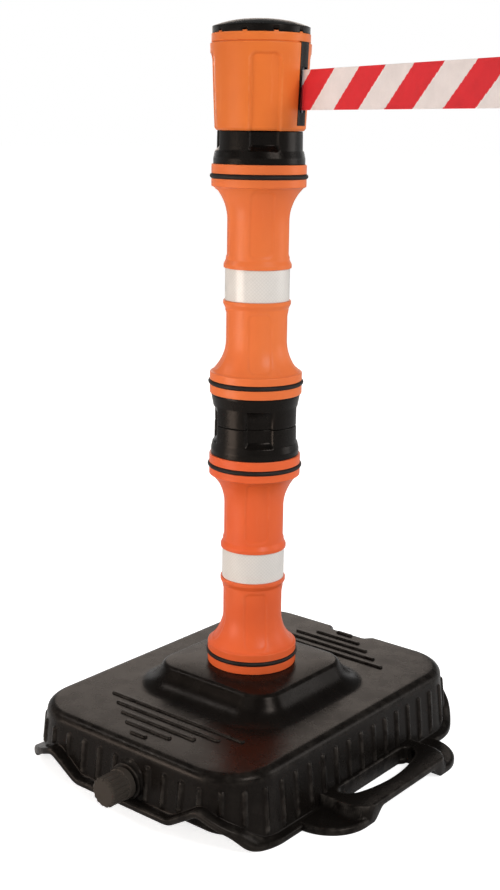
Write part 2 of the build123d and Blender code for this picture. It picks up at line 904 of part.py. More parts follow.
def main():
    os.makedirs("parts", exist_ok=True)
    nodes = {
        "base_shell": base_shell(),
        "base_spigot": base_spigot(),
        "spigot_screws": spigot_screws(),
        "ballast_water": ballast_water(),
        "filler_cap": filler_cap(),
        "cap_gasket": cap_gasket(),
        "head_housing": head_housing(),
        "slot_bezel": slot_bezel(),
        "guide_pins": guide_pins(),
        "top_cap": top_cap(),
        "head_socket": head_socket(),
        "head_screws": head_screws(),
        "reel_axle": reel_axle(),
        "reel_drum": reel_drum(),
        "reel_bush": reel_bush(),
        "power_spring": power_spring(),
        "spring_cover": spring_cover(),
        "belt_roll": belt_roll(),
        "belt_lead": belt_lead(),
        "belt_strip": belt_strip(),
        "belt_clip": belt_clip(),
        "clip_pin": clip_pin(),
    }
    section = {
        "post_tube": post_tube(),
        "band": post_band(),
        "top_ring": Pos(0, 0, post_length - ring_inset) * ring_seat(),
        "bottom_ring": Pos(0, 0, ring_inset) * ring_seat(),
        "top_collar": Pos(0, 0, post_length) * top_collar(),
        "bottom_collar": Pos(0, 0, -collar_height) * bottom_collar(),
    }
    for place, foot in (("lower", hub_top), ("upper", upper_post_foot)):
        for name, piece in section.items():
            nodes[place + "_" + name] = Pos(0, 0, foot) * piece
    for name, piece in nodes.items():
        solids = piece if isinstance(piece, list) else [piece]
        export_step(Compound([s for each in solids for s in each.solids()]), "parts/" + name + ".step")
    print("belt roll, least gap", round(least_gap(*roll_radii(), roll_turns, belt_thick), 3), "mm")
    print("power spring, least gap", round(least_gap(*spring_radii(), spring_turns, spring_thick), 3), "mm")


main()
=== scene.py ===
import json
from math import radians

import bpy
import numpy as np
from mathutils import Matrix, Vector


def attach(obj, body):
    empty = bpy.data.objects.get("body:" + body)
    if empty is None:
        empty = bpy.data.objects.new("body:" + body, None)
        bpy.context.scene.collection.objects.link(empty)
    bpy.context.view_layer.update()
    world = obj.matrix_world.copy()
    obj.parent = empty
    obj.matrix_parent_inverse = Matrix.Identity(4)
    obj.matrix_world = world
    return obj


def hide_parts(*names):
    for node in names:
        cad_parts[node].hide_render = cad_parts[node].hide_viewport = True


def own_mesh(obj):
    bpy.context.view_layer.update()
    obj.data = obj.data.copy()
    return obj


# Belt barrier post dressed over its CAD frame. Shapes are worked out in millimetres, meshes are in metres.

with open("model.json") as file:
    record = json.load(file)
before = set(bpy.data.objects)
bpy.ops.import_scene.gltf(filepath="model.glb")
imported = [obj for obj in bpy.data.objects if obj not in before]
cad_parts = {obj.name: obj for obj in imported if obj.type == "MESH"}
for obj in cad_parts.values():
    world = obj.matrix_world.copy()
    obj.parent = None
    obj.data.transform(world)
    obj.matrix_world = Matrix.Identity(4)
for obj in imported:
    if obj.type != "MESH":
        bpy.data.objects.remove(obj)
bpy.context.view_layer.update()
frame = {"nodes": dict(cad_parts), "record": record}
scene = bpy.context.scene
scene.view_settings.view_transform = "Standard"
print("frame loaded")

levels = {"hubTop": 133.0, "upperFoot": 527.0, "headFoot": 878.0, "lidFoot": 1005.0}  # where pieces stand


def feed(tree, node, inputs):
    # links the sockets among the inputs and sets the constants
    for key, value in inputs.items():
        if isinstance(value, bpy.types.NodeSocket):
            tree.links.new(value, node.inputs[key])
        else:
            node.inputs[key].default_value = value


def nodeIn(tree, kind, inputs=None, **settings):
    made = tree.nodes.new("ShaderNode" + kind)
    for key, value in settings.items():
        setattr(made, key, value)
    feed(tree, made, inputs or {})
    return made


def startFinish(name):
    finish = bpy.data.materials.new(name)
    finish.use_nodes = True
    tree = finish.node_tree
    return finish, tree, tree.nodes["Principled BSDF"], nodeIn(tree, "TexCoord").outputs["Object"]


def mapped(tree, value, low, high, toLow=0.0, toHigh=1.0):
    ends = {"Value": value, "From Min": low, "From Max": high, "To Min": toLow, "To Max": toHigh}
    return nodeIn(tree, "MapRange", ends).outputs["Result"]


def mathIn(tree, operation, first, second=0.0):
    return nodeIn(tree, "Math", {0: first, 1: second}, operation=operation).outputs["Value"]


def mixed(tree, share, first, second):
    first = first if isinstance(first, bpy.types.NodeSocket) else (*first, 1.0)
    second = second if isinstance(second, bpy.types.NodeSocket) else (*second, 1.0)
    return nodeIn(tree, "Mix", {0: share, 6: first, 7: second}, data_type="RGBA").outputs[2]


def noiseAt(tree, place, scale, detail=3.0, roughness=0.5):
    sizes = {"Vector": place, "Scale": scale, "Detail": detail, "Roughness": roughness}
    return nodeIn(tree, "TexNoise", sizes).outputs["Fac"]


def bumped(tree, height, distance, strength, under=None):
    sockets = {"Height": height, "Distance": distance, "Strength": strength}
    if under is not None:
        sockets["Normal"] = under
    return nodeIn(tree, "Bump", sockets).outputs["Normal"]


blackShared = {"rough": (0.22, 0.32), "tint": (1.0, 0.87, 0.78), "grain": 0.3,
               "dustColour": (0.10, 0.085, 0.07)}
orangeShared = {"rough": (0.30, 0.42), "shine": 0.16, "grain": 0.25, "wave": 0.08, "edge": 0.3, "dust": 0.05,
                "dustColour": (0.55, 0.40, 0.33)}
plasticLooks = {
    # the base's strong pale edges (edge 0.8 with its rub colour) are mostly a painted highlight on ribs, deck
    # and hub edges, and partly wear
    "base_black": blackShared | {
        "colour": (0.0040, 0.0032, 0.0027), "tone": (0.0062, 0.0050, 0.0042), "rub": 0.06,
        "wearAndHighlightColour": (0.058, 0.050, 0.043), "dust": 0.02, "shine": 0.09, "wave": 0.10, "edge": 0.8},
    "collar_black": blackShared | {
        "colour": (0.0028, 0.0023, 0.0020), "tone": (0.0044, 0.0037, 0.0032), "rub": 0.25,
        "wearAndHighlightColour": (0.018, 0.016, 0.014), "dust": 0.03, "shine": 0.12, "wave": 0.08, "edge": 0.35},
    "post_orange": orangeShared | {
        "colour": (0.770, 0.130, 0.036), "tone": (0.730, 0.111, 0.030), "rub": 0.22,
        "wearAndHighlightColour": (0.80, 0.22, 0.10)},
    "head_orange": orangeShared | {
        "colour": (0.725, 0.174, 0.033), "tone": (0.685, 0.152, 0.027), "rub": 0.2,
        "wearAndHighlightColour": (0.83, 0.29, 0.12)},
    "reel_nylon": {
        "colour": (0.60, 0.58, 0.54), "tone": (0.54, 0.52, 0.47), "rub": 0.2, "wearAndHighlightColour": (0.68, 0.66, 0.62),
        "dust": 0.05, "dustColour": (0.4, 0.38, 0.35), "rough": (0.4, 0.5), "shine": 0.5, "grain": 0.2,
        "wave": 0.1, "edge": 0.1},
}
plasticLooks["cap_black"] = plasticLooks["base_black"] | {  # a duller plastic
    "colour": (0.034, 0.028, 0.023), "tone": (0.042, 0.035, 0.029), "rough": (0.42, 0.55)}
plasticLooks["upper_orange"] = plasticLooks["post_orange"] | {  # paler and yellower than the lower tube: partly its own colour, partly a painted highlight of the broad sheen on the upper part
    "colour": (0.785, 0.186, 0.050), "tone": (0.745, 0.160, 0.042)}
plasticNoise = {"mottle": (11.0, 4.0), "streak": (1.0, 6.0, 0.62), "patch": (60.0, 5.0, 0.6),
                "dust": (26.0, 6.0, 0.6), "rough": (34.0, 5.0, 0.55), "wave": (16.0, 2.0),
                "grain": (1500.0, 2.0, 0.6)}  # scale, detail, roughness
streakStretch = (55.0, 90.0, 14.0)  # streaks run up the piece


def mouldedPlastic(name, look):
    # mottled colour, rubbed streaks, convex edges paler as wear and as a painted highlight, dust on faces
    # that look up, and grain in the bump
    finish, tree, shader, place = startFinish(name)
    mottle = mapped(tree, noiseAt(tree, place, *plasticNoise["mottle"]), 0.35, 0.65)
    colour = mixed(tree, mottle, look["colour"], look["tone"])
    stretched = nodeIn(tree, "Mapping", {"Vector": place, "Scale": streakStretch}).outputs["Vector"]
    streak = noiseAt(tree, stretched, *plasticNoise["streak"])
    colour = mixed(tree, mapped(tree, streak, 0.60, 0.74, 0.0, look["rub"]), colour, look["wearAndHighlightColour"])
    convexEdge = nodeIn(tree, "Attribute", attribute_name="edge").outputs["Fac"]
    patchy = mapped(tree, noiseAt(tree, place, *plasticNoise["patch"]), 0.4, 0.62)
    # convex edges mixed toward the paler colour: partly wear, partly a painted highlight that picks out ribs
    # and edges
    wearAndHighlight = mathIn(tree, "MULTIPLY", mathIn(tree, "MULTIPLY", convexEdge, patchy), look["edge"])
    colour = mixed(tree, wearAndHighlight, colour, look["wearAndHighlightColour"])
    normal = nodeIn(tree, "NewGeometry").outputs["Normal"]
    facing = nodeIn(tree, "SeparateXYZ", {"Vector": normal}).outputs["Z"]
    settled = mapped(tree, noiseAt(tree, place, *plasticNoise["dust"]), 0.42, 0.72, 0.0, look["dust"])
    dust = mathIn(tree, "MULTIPLY", mapped(tree, facing, 0.55, 0.98), settled)
    colour = mixed(tree, dust, colour, look["dustColour"])
    rough = mapped(tree, noiseAt(tree, place, *plasticNoise["rough"]), 0.3, 0.7, *look["rough"])
    slow = bumped(tree, noiseAt(tree, place, *plasticNoise["wave"]), 0.002, look["wave"])
    grain = bumped(tree, noiseAt(tree, place, *plasticNoise["grain"]), 0.0002, look["grain"], slow)
    feed(tree, shader, {"Base Color": colour, "Roughness": rough, "Normal": grain,
                        "Specular IOR Level": look["shine"],
                        "Specular Tint": (*look.get("tint", (1.0, 1.0, 1.0)), 1.0)})
    return finish


sheetingLook = {"colour": (0.72, 0.680, 0.635), "line": (0.53, 0.500, 0.46), "cell": 5.0, "radius": 44.0}


def reflectiveSheeting(name, look):
    # prismatic sheeting: two slanted families of fine lines, from angle times radius and from height
    finish, tree, shader, place = startFinish(name)
    axes = nodeIn(tree, "SeparateXYZ", {"Vector": place}).outputs
    angle = mathIn(tree, "ARCTAN2", axes["Y"], axes["X"])
    around = mathIn(tree, "MULTIPLY", angle, look["radius"] / look["cell"])
    upward = mathIn(tree, "MULTIPLY", axes["Z"], 1000.0 / look["cell"])
    lines = []
    for operation in ("ADD", "SUBTRACT"):
        slant = mathIn(tree, "FRACT", mathIn(tree, operation, around, upward))
        lines.append(mapped(tree, mathIn(tree, "ABSOLUTE", mathIn(tree, "SUBTRACT", slant, 0.5)), 0.40, 0.48))
    net = mathIn(tree, "MAXIMUM", *lines)
    soiled = mapped(tree, noiseAt(tree, place, 45.0, 6.0, 0.6), 0.5, 0.8, 0.0, 0.35)
    colour = mixed(tree, mathIn(tree, "MULTIPLY", net, 0.5), look["colour"], look["line"])
    feed(tree, shader, {"Base Color": mixed(tree, soiled, colour, look["line"]),
                        "Roughness": mapped(tree, net, 0.0, 1.0, 0.30, 0.42),
                        "Normal": bumped(tree, net, 0.0001, 0.3), "Coat Weight": 0.25, "Coat Roughness": 0.2})
    return finish


rubberLook = {"colour": (0.012, 0.009, 0.008), "bloom": (0.024, 0.019, 0.016), "rough": (0.5, 0.68),
              "shine": 0.18}


def blackRubber(name, look):
    # bloomed rubber: dull, faintly grey in patches
    finish, tree, shader, place = startFinish(name)
    bloom = mapped(tree, noiseAt(tree, place, 70.0, 5.0, 0.6), 0.45, 0.75)
    feed(tree, shader, {"Base Color": mixed(tree, bloom, look["colour"], look["bloom"]),
                        "Roughness": mapped(tree, bloom, 0.0, 1.0, *look["rough"]),
                        "Normal": bumped(tree, noiseAt(tree, place, 900.0), 0.0002, 0.3),
                        "Specular IOR Level": look["shine"]})
    return finish


metalLooks = {
    "steel": {"colour": (0.56, 0.56, 0.57), "tone": (0.46, 0.46, 0.47), "rough": (0.22, 0.38)},
    "brass": {"colour": (0.70, 0.50, 0.22), "tone": (0.58, 0.40, 0.17), "rough": (0.24, 0.40)},
    "dark_steel": {"colour": (0.10, 0.10, 0.105), "tone": (0.07, 0.07, 0.072), "rough": (0.35, 0.50)},
}


def turnedMetal(name, look):
    # fine turning lines across the axis, from noise squeezed in height
    finish, tree, shader, place = startFinish(name)
    squeezed = nodeIn(tree, "Mapping", {"Vector": place, "Scale": (30.0, 30.0, 2500.0)}).outputs["Vector"]
    lines = noiseAt(tree, squeezed, 1.0, 3.0)
    feed(tree, shader, {"Base Color": mixed(tree, lines, look["colour"], look["tone"]),
                        "Roughness": mapped(tree, lines, 0.3, 0.7, *look["rough"]),
                        "Normal": bumped(tree, lines, 0.0001, 0.2), "Metallic": 1.0})
    return finish


beltLook = {"red": (0.825, 0.024, 0.034), "white": (0.94, 0.870, 0.845), "redWorn": 0.86, "whiteWorn": 0.90,
            "between": (0.25, 0.06, 0.06), "pitch": 119.5, "slant": 1.21, "shift": 58.1, "angle": -24.8,
            "thread": 1.3}


def stripedWebbing(name, look):
    # along the belt and up it; stripe = fraction of (along - slant * up) / pitch, snapped to the threads
    finish, tree, shader, place = startFinish(name)
    turn = (0.0, 0.0, radians(-look["angle"]))
    laid = nodeIn(tree, "Mapping", {"Vector": place, "Rotation": turn}).outputs["Vector"]
    thread = look["thread"] * 0.001
    steps = {0: laid, 1: (thread, 1.0, thread)}
    snapped = nodeIn(tree, "VectorMath", steps, operation="SNAP").outputs["Vector"]
    cell = nodeIn(tree, "SeparateXYZ", {"Vector": snapped}).outputs
    raised = mathIn(tree, "MULTIPLY", cell["Z"], look["slant"])
    drawn = mathIn(tree, "ADD", mathIn(tree, "SUBTRACT", cell["X"], raised), look["shift"] * 0.001)
    stripe = mathIn(tree, "FRACT", mathIn(tree, "MULTIPLY", drawn, 1000.0 / look["pitch"]))
    red = mathIn(tree, "GREATER_THAN", stripe, 0.5)
    axes = nodeIn(tree, "SeparateXYZ", {"Vector": laid}).outputs
    phases = [mathIn(tree, "MULTIPLY", axes[axis], 2.0 * np.pi / thread) for axis in "XZ"]
    waves = [mathIn(tree, "SINE", phase) for phase in phases]
    weave = mapped(tree, mathIn(tree, "MULTIPLY", *waves), -1.0, 1.0)
    patch = mapped(tree, noiseAt(tree, place, 40.0, 5.0, 0.6), 0.3, 0.7)
    redTone = mixed(tree, patch, look["red"], tuple(look["redWorn"] * c for c in look["red"]))
    whiteTone = mixed(tree, patch, look["white"], tuple(look["whiteWorn"] * c for c in look["white"]))
    colour = mixed(tree, red, whiteTone, redTone)
    # painted shade: the weave's hollows between threads are darkened toward a dark red
    shade = mixed(tree, mapped(tree, weave, 0.0, 1.0, 0.16, 0.0), colour, look["between"])
    feed(tree, shader, {"Base Color": shade, "Normal": bumped(tree, weave, 0.0004, 0.45), "Roughness": 0.66,
                        "Specular IOR Level": 0.2, "Sheen Weight": 0.06, "Sheen Roughness": 0.4})
    return finish


def standingWater(name):
    # ballast: clear, slightly clouded
    finish, tree, shader, place = startFinish(name)
    cloud = mapped(tree, noiseAt(tree, place, 8.0, 4.0), 0.3, 0.7)
    colour = mixed(tree, cloud, (0.5, 0.6, 0.65), (0.44, 0.54, 0.58))
    feed(tree, shader, {"Base Color": colour, "Roughness": 0.08})
    return finish


finishes = {slotName: mouldedPlastic(slotName + "_moulding", look) for slotName, look in plasticLooks.items()}
finishes |= {slotName: turnedMetal(slotName + "_turned", look) for slotName, look in metalLooks.items()}
finishes["band_white"] = reflectiveSheeting("band_sheeting", sheetingLook)
finishes["rubber_black"] = blackRubber("ring_rubber", rubberLook)
finishes["belt_web"] = stripedWebbing("belt_webbing", beltLook)
finishes["water"] = standingWater("ballast_fill")
for subpart in frame["record"]["subparts"]:
    nodeMesh = frame["nodes"][subpart["node"]].data
    nodeMesh.materials.clear()
    finish = "dark_steel" if subpart["node"] == "guide_pins" else subpart["material_slot"]
    nodeMesh.materials.append(finishes[finish])
print("finishes made")


def unit(vectors):
    # each vector over its length
    return vectors / np.maximum(np.linalg.norm(vectors, axis=-1, keepdims=True), 1e-9)


def roundedLine(corners, steps=5):
    # straight runs with a tangent arc at each corner (x, y, radius): the arc's centre lies radius / sin(half
    # angle) along the bisector, and the arc runs between the two tangent points by equal angles
    corners = np.array(corners, float)
    point, radius = corners[:, :2], corners[:, 2:3]
    back = unit(np.roll(point, 1, 0) - point)
    ahead = unit(np.roll(point, -1, 0) - point)
    half = np.arccos(np.clip((back * ahead).sum(1, keepdims=True), -0.99999, 0.99999)) / 2
    centre = point + unit(back + ahead) * radius / np.sin(half)
    start = point + back * radius / np.tan(half) - centre
    end = point + ahead * radius / np.tan(half) - centre
    sweep = np.pi - 2 * half
    share = np.linspace(0, 1, steps + 1)
    early = (np.sin((1 - share) * sweep) / np.sin(sweep))[..., None]
    late = (np.sin(share * sweep) / np.sin(sweep))[..., None]
    line = (centre[:, None] + early * start[:, None] + late * end[:, None]).reshape(-1, 2)
    return line[np.r_[True, np.hypot(*np.diff(line, axis=0).T) > 1e-4]]


def spread(line, spacing):
    # keeps the line's points and adds even ones between, by arc length
    run = np.r_[0, np.cumsum(np.hypot(*np.diff(line, axis=0).T))]
    at = np.union1d(run, np.arange(0, run[-1], spacing))
    at = at[np.r_[True, np.diff(at) > 0.05]]
    return np.c_[np.interp(at, run, line[:, 0]), np.interp(at, run, line[:, 1])]


def softWindow(across, up, halfWide, halfTall, corner, flank):
    # 1 inside a round-cornered window, 0 outside: distance to its edge, eased over the flank's width
    over, above = abs(across) - halfWide + corner, abs(up) - halfTall + corner
    outside = np.hypot(np.maximum(over, 0), np.maximum(above, 0))
    distance = outside + np.minimum(np.maximum(over, above), 0) - corner
    share = np.clip(0.5 - distance / flank, 0, 1)
    return share**2 * (3 - 2 * share)


def nearestTurn(angles, count, first):
    # angle from the nearest of so many evenly spaced directions
    step = 2 * np.pi / count
    return (angles - first + step / 2) % step - step / 2


def turned(profile, around, relief=None):
    # x = r cos t, y = r sin t for a half section (r, z), at the angles given or at so many; relief adds to r
    angles = np.linspace(0, 2 * np.pi, around, endpoint=False) if isinstance(around, int) else around
    radius = np.repeat(profile[:, :1], len(angles), 1)
    height = np.repeat(profile[:, 1:], len(angles), 1)
    if relief is not None:
        radius = radius + relief(angles[None, :], radius, height)
    return np.stack([radius * np.cos(angles), radius * np.sin(angles), height], -1)


def lifted(shell, height):
    # the shell's points moved up
    return shell[0] + np.array([0, 0, height]), shell[1]


def gridShell(points, wrapRows=False, wrapCols=True, lowPole=None, highPole=None, keep=None, extra=()):
    # quads between neighbouring rows and columns, with a fan to a pole at either end where one is given
    rows, cols = points.shape[:2]
    i, j = np.meshgrid(np.arange(rows - (not wrapRows)), np.arange(cols - (not wrapCols)), indexing="ij")
    nextI, nextJ = (i + 1) % rows, (j + 1) % cols
    quads = np.stack([i * cols + j, i * cols + nextJ, nextI * cols + nextJ, nextI * cols + j], -1)
    faces = [quads[keep] if keep is not None else quads.reshape(-1, 4), *extra]
    flat = points.reshape(-1, 3)
    ring = np.arange(cols)
    after = np.roll(ring, -1)
    last = (rows - 1) * cols
    for pole, rim in ((lowPole, (after, ring)), (highPole, (last + ring, last + after))):
        if pole is not None:
            faces.append(np.stack([*rim, np.full(cols, len(flat))], -1))
            flat = np.vstack([flat, pole])
    return flat, faces


def meshArray(items, field, width, kind=np.float32):
    # one field of a mesh's items, as rows of so many values
    values = np.empty(len(items) * width, kind)
    items.foreach_get(field, values)
    return values.reshape(-1, width)


def edgeConvexity(mesh):
    # how far a vertex stands out from its neighbours along its normal, as a share of the edges' length; it
    # drives the paler edges, which are partly wear and partly a painted highlight
    edges = meshArray(mesh.edges, "vertices", 2, np.int32)
    places, normals = meshArray(mesh.vertices, "co", 3), meshArray(mesh.vertex_normals, "vector", 3)
    ends = np.r_[edges, edges[:, ::-1]]
    step = places[ends[:, 0]] - places[ends[:, 1]]
    bend = (step * normals[ends[:, 0]]).sum(1) / np.maximum(np.linalg.norm(step, axis=1), 1e-7)
    count = np.maximum(np.bincount(ends[:, 0], minlength=len(places)), 1)
    convex = np.bincount(ends[:, 0], bend, len(places)) / count
    wearAndHighlight = mesh.attributes.new("edge", "FLOAT", "POINT")
    wearAndHighlight.data.foreach_set("value", np.clip(convex * 6.0, 0, 1).astype(np.float32))  # full from a sixth


def makePiece(name, shells, body, slotName, *nodes, finish=None):
    # joins shells of points and faces into one mesh, hangs it on what it rides on, and hides the solids it
    # stands for
    faces, first = [], 0
    for points, groups in shells:
        faces += [face for group in groups for face in (np.asarray(group) + first).tolist()]
        first += len(points)
    places = np.concatenate([points for points, groups in shells]) * 0.001
    mesh = bpy.data.meshes.new(name)
    mesh.from_pydata(places.tolist(), [], faces)
    mesh.shade_smooth()
    edgeConvexity(mesh)
    mesh.materials.append(finishes[finish or slotName])
    piece = bpy.data.objects.new(name, mesh)
    scene.collection.objects.link(piece)
    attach(piece, body)
    if nodes:
        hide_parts(*nodes)
    print("piece", name, len(faces), "faces")
    return piece


# Camera, solved from the post's ellipses in the picture
view = {"place": (1.1189, -1.3867, 0.8826), "heading": 39.114, "down": 13.62, "roll": 0.857, "lens": 53.09}
lens = bpy.data.objects.new("camera", bpy.data.cameras.new("camera"))
scene.collection.objects.link(lens)
aim = Matrix.Rotation(radians(view["heading"]), 4, "Z") @ Matrix.Rotation(radians(90 - view["down"]), 4, "X")
lens.matrix_world = Matrix.Translation(view["place"]) @ aim @ Matrix.Rotation(radians(view["roll"]), 4, "Z")
lens.data.lens = view["lens"]
lens.data.sensor_width = 36.0
scene.camera = lens


# Belt: a woven strip pulled straight out of the slot
belt = {"length": 445.0, "height": 50.0, "middle": 929.5, "heading": -24.8, "offset": 31.8, "swing": 66.6,
        "half": 0.46, "selvedge": 0.6, "selvedgeWide": 2.2, "selvedgeEase": 0.5, "leadGap": (1.0, 0.8),
        "rest": 20.0, "roll": (12.8, 30.5), "turns": 11}
heading = radians(belt["heading"])
along = np.array([np.cos(heading), np.sin(heading), 0])
aside = np.array([-along[1], along[0], 0])
leadRun = np.sqrt(belt["swing"] ** 2 - belt["offset"] ** 2)
tangent = aside * belt["offset"] + np.array([0, 0, belt["middle"]])
exitPoint = tangent + along * leadRun


def splinePoints(name, controls):
    # points along a NURBS line, from its first control point to its last
    curve = bpy.data.curves.new(name, "CURVE")
    curve.dimensions = "3D"
    spline = curve.splines.new("NURBS")
    spline.points.add(len(controls) - 1)
    spline.points.foreach_set("co", np.c_[controls, np.ones(len(controls))].ravel())
    spline.order_u = 3
    spline.use_endpoint_u = True
    spline.resolution_u = 48
    holder = bpy.data.objects.new(name, curve)
    scene.collection.objects.link(holder)
    line = bpy.data.meshes.new_from_object(holder)
    bpy.data.objects.remove(holder)
    return meshArray(line.vertices, "co", 3, np.float64)


def beltSection(strip):
    # across and up: a thin web with a thicker selvedge along both edges
    tall, web, rim = strip["height"] / 2, strip["half"], strip["selvedge"]
    wide = strip["selvedgeWide"]
    quarter = [(rim, -tall, 0.45), (rim, -tall + wide, 0.3), (web, -tall + wide + strip["selvedgeEase"], 0.3)]
    right = quarter + [(across, -up, r) for across, up, r in reversed(quarter)]
    left = [(-across, up, r) for across, up, r in reversed(right)]
    return spread(roundedLine(right + left, 3), 4.0)


def ribbon(path, section):
    # section carried along a level path: path + side * across + up * height
    ahead = unit(np.gradient(path, axis=0))
    side = np.stack([-ahead[:, 1], ahead[:, 0], 0 * ahead[:, 0]], -1)
    points = path[:, None] + side[:, None] * section[None, :, :1]
    points[..., 2] += section[None, :, 1]
    last = (len(path) - 1) * len(section)
    ring = np.arange(len(section))
    caps = [ring[None, :], last + ring[None, ::-1]]
    return gridShell(points[:, ::-1], extra=caps)


section = beltSection(belt)
beltRoute = [exitPoint + along * belt["length"] * share for share in (0, 0.3, 0.7, 1)]
beltPath = splinePoints("belt_route", np.array(beltRoute))
beltPiece = makePiece("pulled_belt", [ribbon(beltPath, section)], "belt", "belt_web", "belt_strip")
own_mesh(beltPiece)

leadPath = np.linspace(tangent + along * belt["leadGap"][0], exitPoint - along * belt["leadGap"][1], 24)
makePiece("belt_lead_in", [ribbon(leadPath, section)], "head", "belt_web", "belt_lead")

turnsOut = np.linspace(0, belt["turns"], belt["turns"] * 64 + 1)
rollTurn = heading + np.pi / 2 + 2 * np.pi * (belt["turns"] - turnsOut)  # winds outwards clockwise
rollRadius = belt["roll"][0] + (belt["roll"][1] - belt["roll"][0]) * turnsOut / belt["turns"]
rollMiddle = np.full(len(turnsOut), belt["middle"])
rollPath = np.c_[rollRadius * np.cos(rollTurn), rollRadius * np.sin(rollTurn), rollMiddle]
makePiece("wound_belt", [ribbon(rollPath, section)], "reel", "belt_web", "belt_roll")


# Post sections: a turned body with flanges, flares and two beads, and shallow flutes on the diagonals
post = {"length": 308.0, "flange": 63.5, "flangeHeight": 29.0, "flareFoot": 30.5, "flareReach": 16.8,
        "flareHeight": 43.5, "shaft": 43.2, "bore": 36.5, "bandLow": 127.75, "bandHigh": 171.25,
        "bandWall": (43.25, 44.0), "bandGap": 0.15, "bead": 46.2, "beadRun": (11.0, 5.0), "seat": 43.2,
        "ringAt": 15.5, "ringRadius": 62.45, "ringSection": 3.25, "groove": 61.2, "grooveHalf": (3.4, 2.8),
        "fluteHalf": 15.5, "fluteDepth": 1.4, "fluteCorner": 7.0, "fluteFlank": 2.2,
        "flutes": ((34.0, 111.75), (187.25, 274.0))}


def postProfile(p):
    # half section up the outside, then back down the bore
    curve = (p["flareReach"] ** 2 + p["flareHeight"] ** 2) / (2 * p["flareReach"])
    neck = p["flareFoot"] + p["flareHeight"]
    rise = np.linspace(p["flareFoot"], neck, 22)
    flare = [(p["shaft"] + curve - np.sqrt(curve**2 - (neck - z) ** 2), z, 0.4) for z in rise]
    mouthHalf, floorHalf = p["grooveHalf"]
    groove = [(p["flange"], p["ringAt"] - mouthHalf, 0.4), (p["groove"], p["ringAt"] - floorHalf, 0.3)]
    groove += [(r, 2 * p["ringAt"] - z, e) for r, z, e in reversed(groove)]
    low = [(p["bore"], 0, 0), (p["flange"], 0, 1.0), *groove, (p["flange"], p["flangeHeight"], 1.3), *flare]
    foot, crest = (p["bandLow"] - run for run in p["beadRun"])
    bead = [(p["shaft"], foot, 3), (p["bead"], crest, 2), (p["bead"], p["bandLow"], 0.8),
            (p["seat"], p["bandLow"], 0.2)]
    middle = p["bandLow"] + p["bandHigh"]
    bead += [(r, middle - z, e) for r, z, e in reversed(bead)]
    high = [(r, p["length"] - z, e) for r, z, e in reversed(low)]
    return np.r_[spread(roundedLine(low + bead + high, 4), 1.7), [(p["bore"], p["length"] / 2)]]


def offDiagonal(angles, radius):
    # distance across from the nearest diagonal: r times the sine of the angle from it
    return radius * np.sin(nearestTurn(angles, 4, np.pi / 4))


def fluteRelief(angles, radius, height):
    # flutes on the diagonals of the outside, sunk by their depth within soft windows
    across = offDiagonal(angles, radius)
    sunk = 0
    for low, high in post["flutes"]:
        sunk = sunk + softWindow(across, height - (low + high) / 2, post["fluteHalf"], (high - low) / 2,
                                 post["fluteCorner"], post["fluteFlank"])
    return -post["fluteDepth"] * sunk * (radius > post["bore"] + 2)


collar = {"height": 43.0, "wide": 61.2, "wideTo": 8.0, "waist": 58.6, "waistFrom": 18.0, "waistLean": 0.4,
          "mouth": 58.2, "mouthHeight": 26.0, "mouthLean": 0.3, "mouthRound": 1.2, "seamGap": 0.15,
          "bore": 29.0, "plug": 36.4, "plugDepth": 12.0, "gripHalf": 19.0, "gripFloor": 52.0,
          "gripCorner": 8.0, "gripFlank": 1.8, "gripOver": 8.0, "topGrip": 27.5, "topScoop": 10.0,
          "bottomGrip": 30.0, "bottomScoop": 20.0, "scoopCurve": 1.4, "spigot": 36.0, "spigotHeight": 16.0,
          "lug": 3.6, "lugHeight": 5.0, "lugHalf": 17.0, "entryHalf": 20.0, "slack": 0.4}


def gripRelief(mouth, end, scoop):
    # grips on the diagonals, open at the mouth: the radius falls to a floor that rises in a scoop at its end
    reach = end - mouth
    tall = abs(reach) / 2 + collar["gripOver"]

    def relief(angles, radius, height):
        across = offDiagonal(angles, radius)
        inside = softWindow(across, height - (mouth + end) / 2, collar["gripHalf"], tall,
                            collar["gripCorner"], collar["gripFlank"])
        share = np.clip((height - end) * np.sign(reach) / scoop + 1, 0, 1)
        rise = (collar["wide"] - collar["gripFloor"]) * share ** collar["scoopCurve"]
        floor = collar["gripFloor"] + rise
        toMouth = 1 - np.clip(abs(height - mouth) / collar["mouthRound"], 0, 1)
        floor = floor - collar["mouthRound"] * (1 - np.sqrt(1 - toMouth**2))
        return np.minimum(floor - radius, 0) * inside
    return relief


def topCollar(c):
    # plug below, grips above, then the spigot with its four lugs
    top, tip = c["height"] - c["seamGap"], c["height"] + c["spigotHeight"]
    lugLow = tip - c["lugHeight"]
    outside = roundedLine([
        (c["bore"], -c["plugDepth"], 0.6), (c["plug"], -c["plugDepth"], 0.6), (c["plug"], 0, 0.2),
        (c["wide"], 0, 0.8), (c["wide"], c["wideTo"], 9.0),
        (c["waist"] + c["waistLean"], c["waistFrom"], 9.0), (c["waist"], top, c["mouthRound"]),
        (c["spigot"], top, 0.3), (c["spigot"], lugLow, 0), (c["spigot"], lugLow + 0.1, 0),
        (c["spigot"], tip, 0.6), (c["bore"], tip, 0.6)])
    grips = gripRelief(top, top - c["topGrip"], c["topScoop"])

    def relief(angles, radius, height):
        # grips below the seam, and the lugs added to the spigot's tip
        lug = abs(nearestTurn(angles, 4, 0)) < radians(c["lugHalf"])
        onLug = (height > lugLow + 0.05) & (radius > c["bore"] + 3)
        return grips(angles, radius, height) * (height < top + 0.5) + c["lug"] * lug * onLug
    return gridShell(turned(spread(outside, 0.9), 208, relief), wrapRows=True)


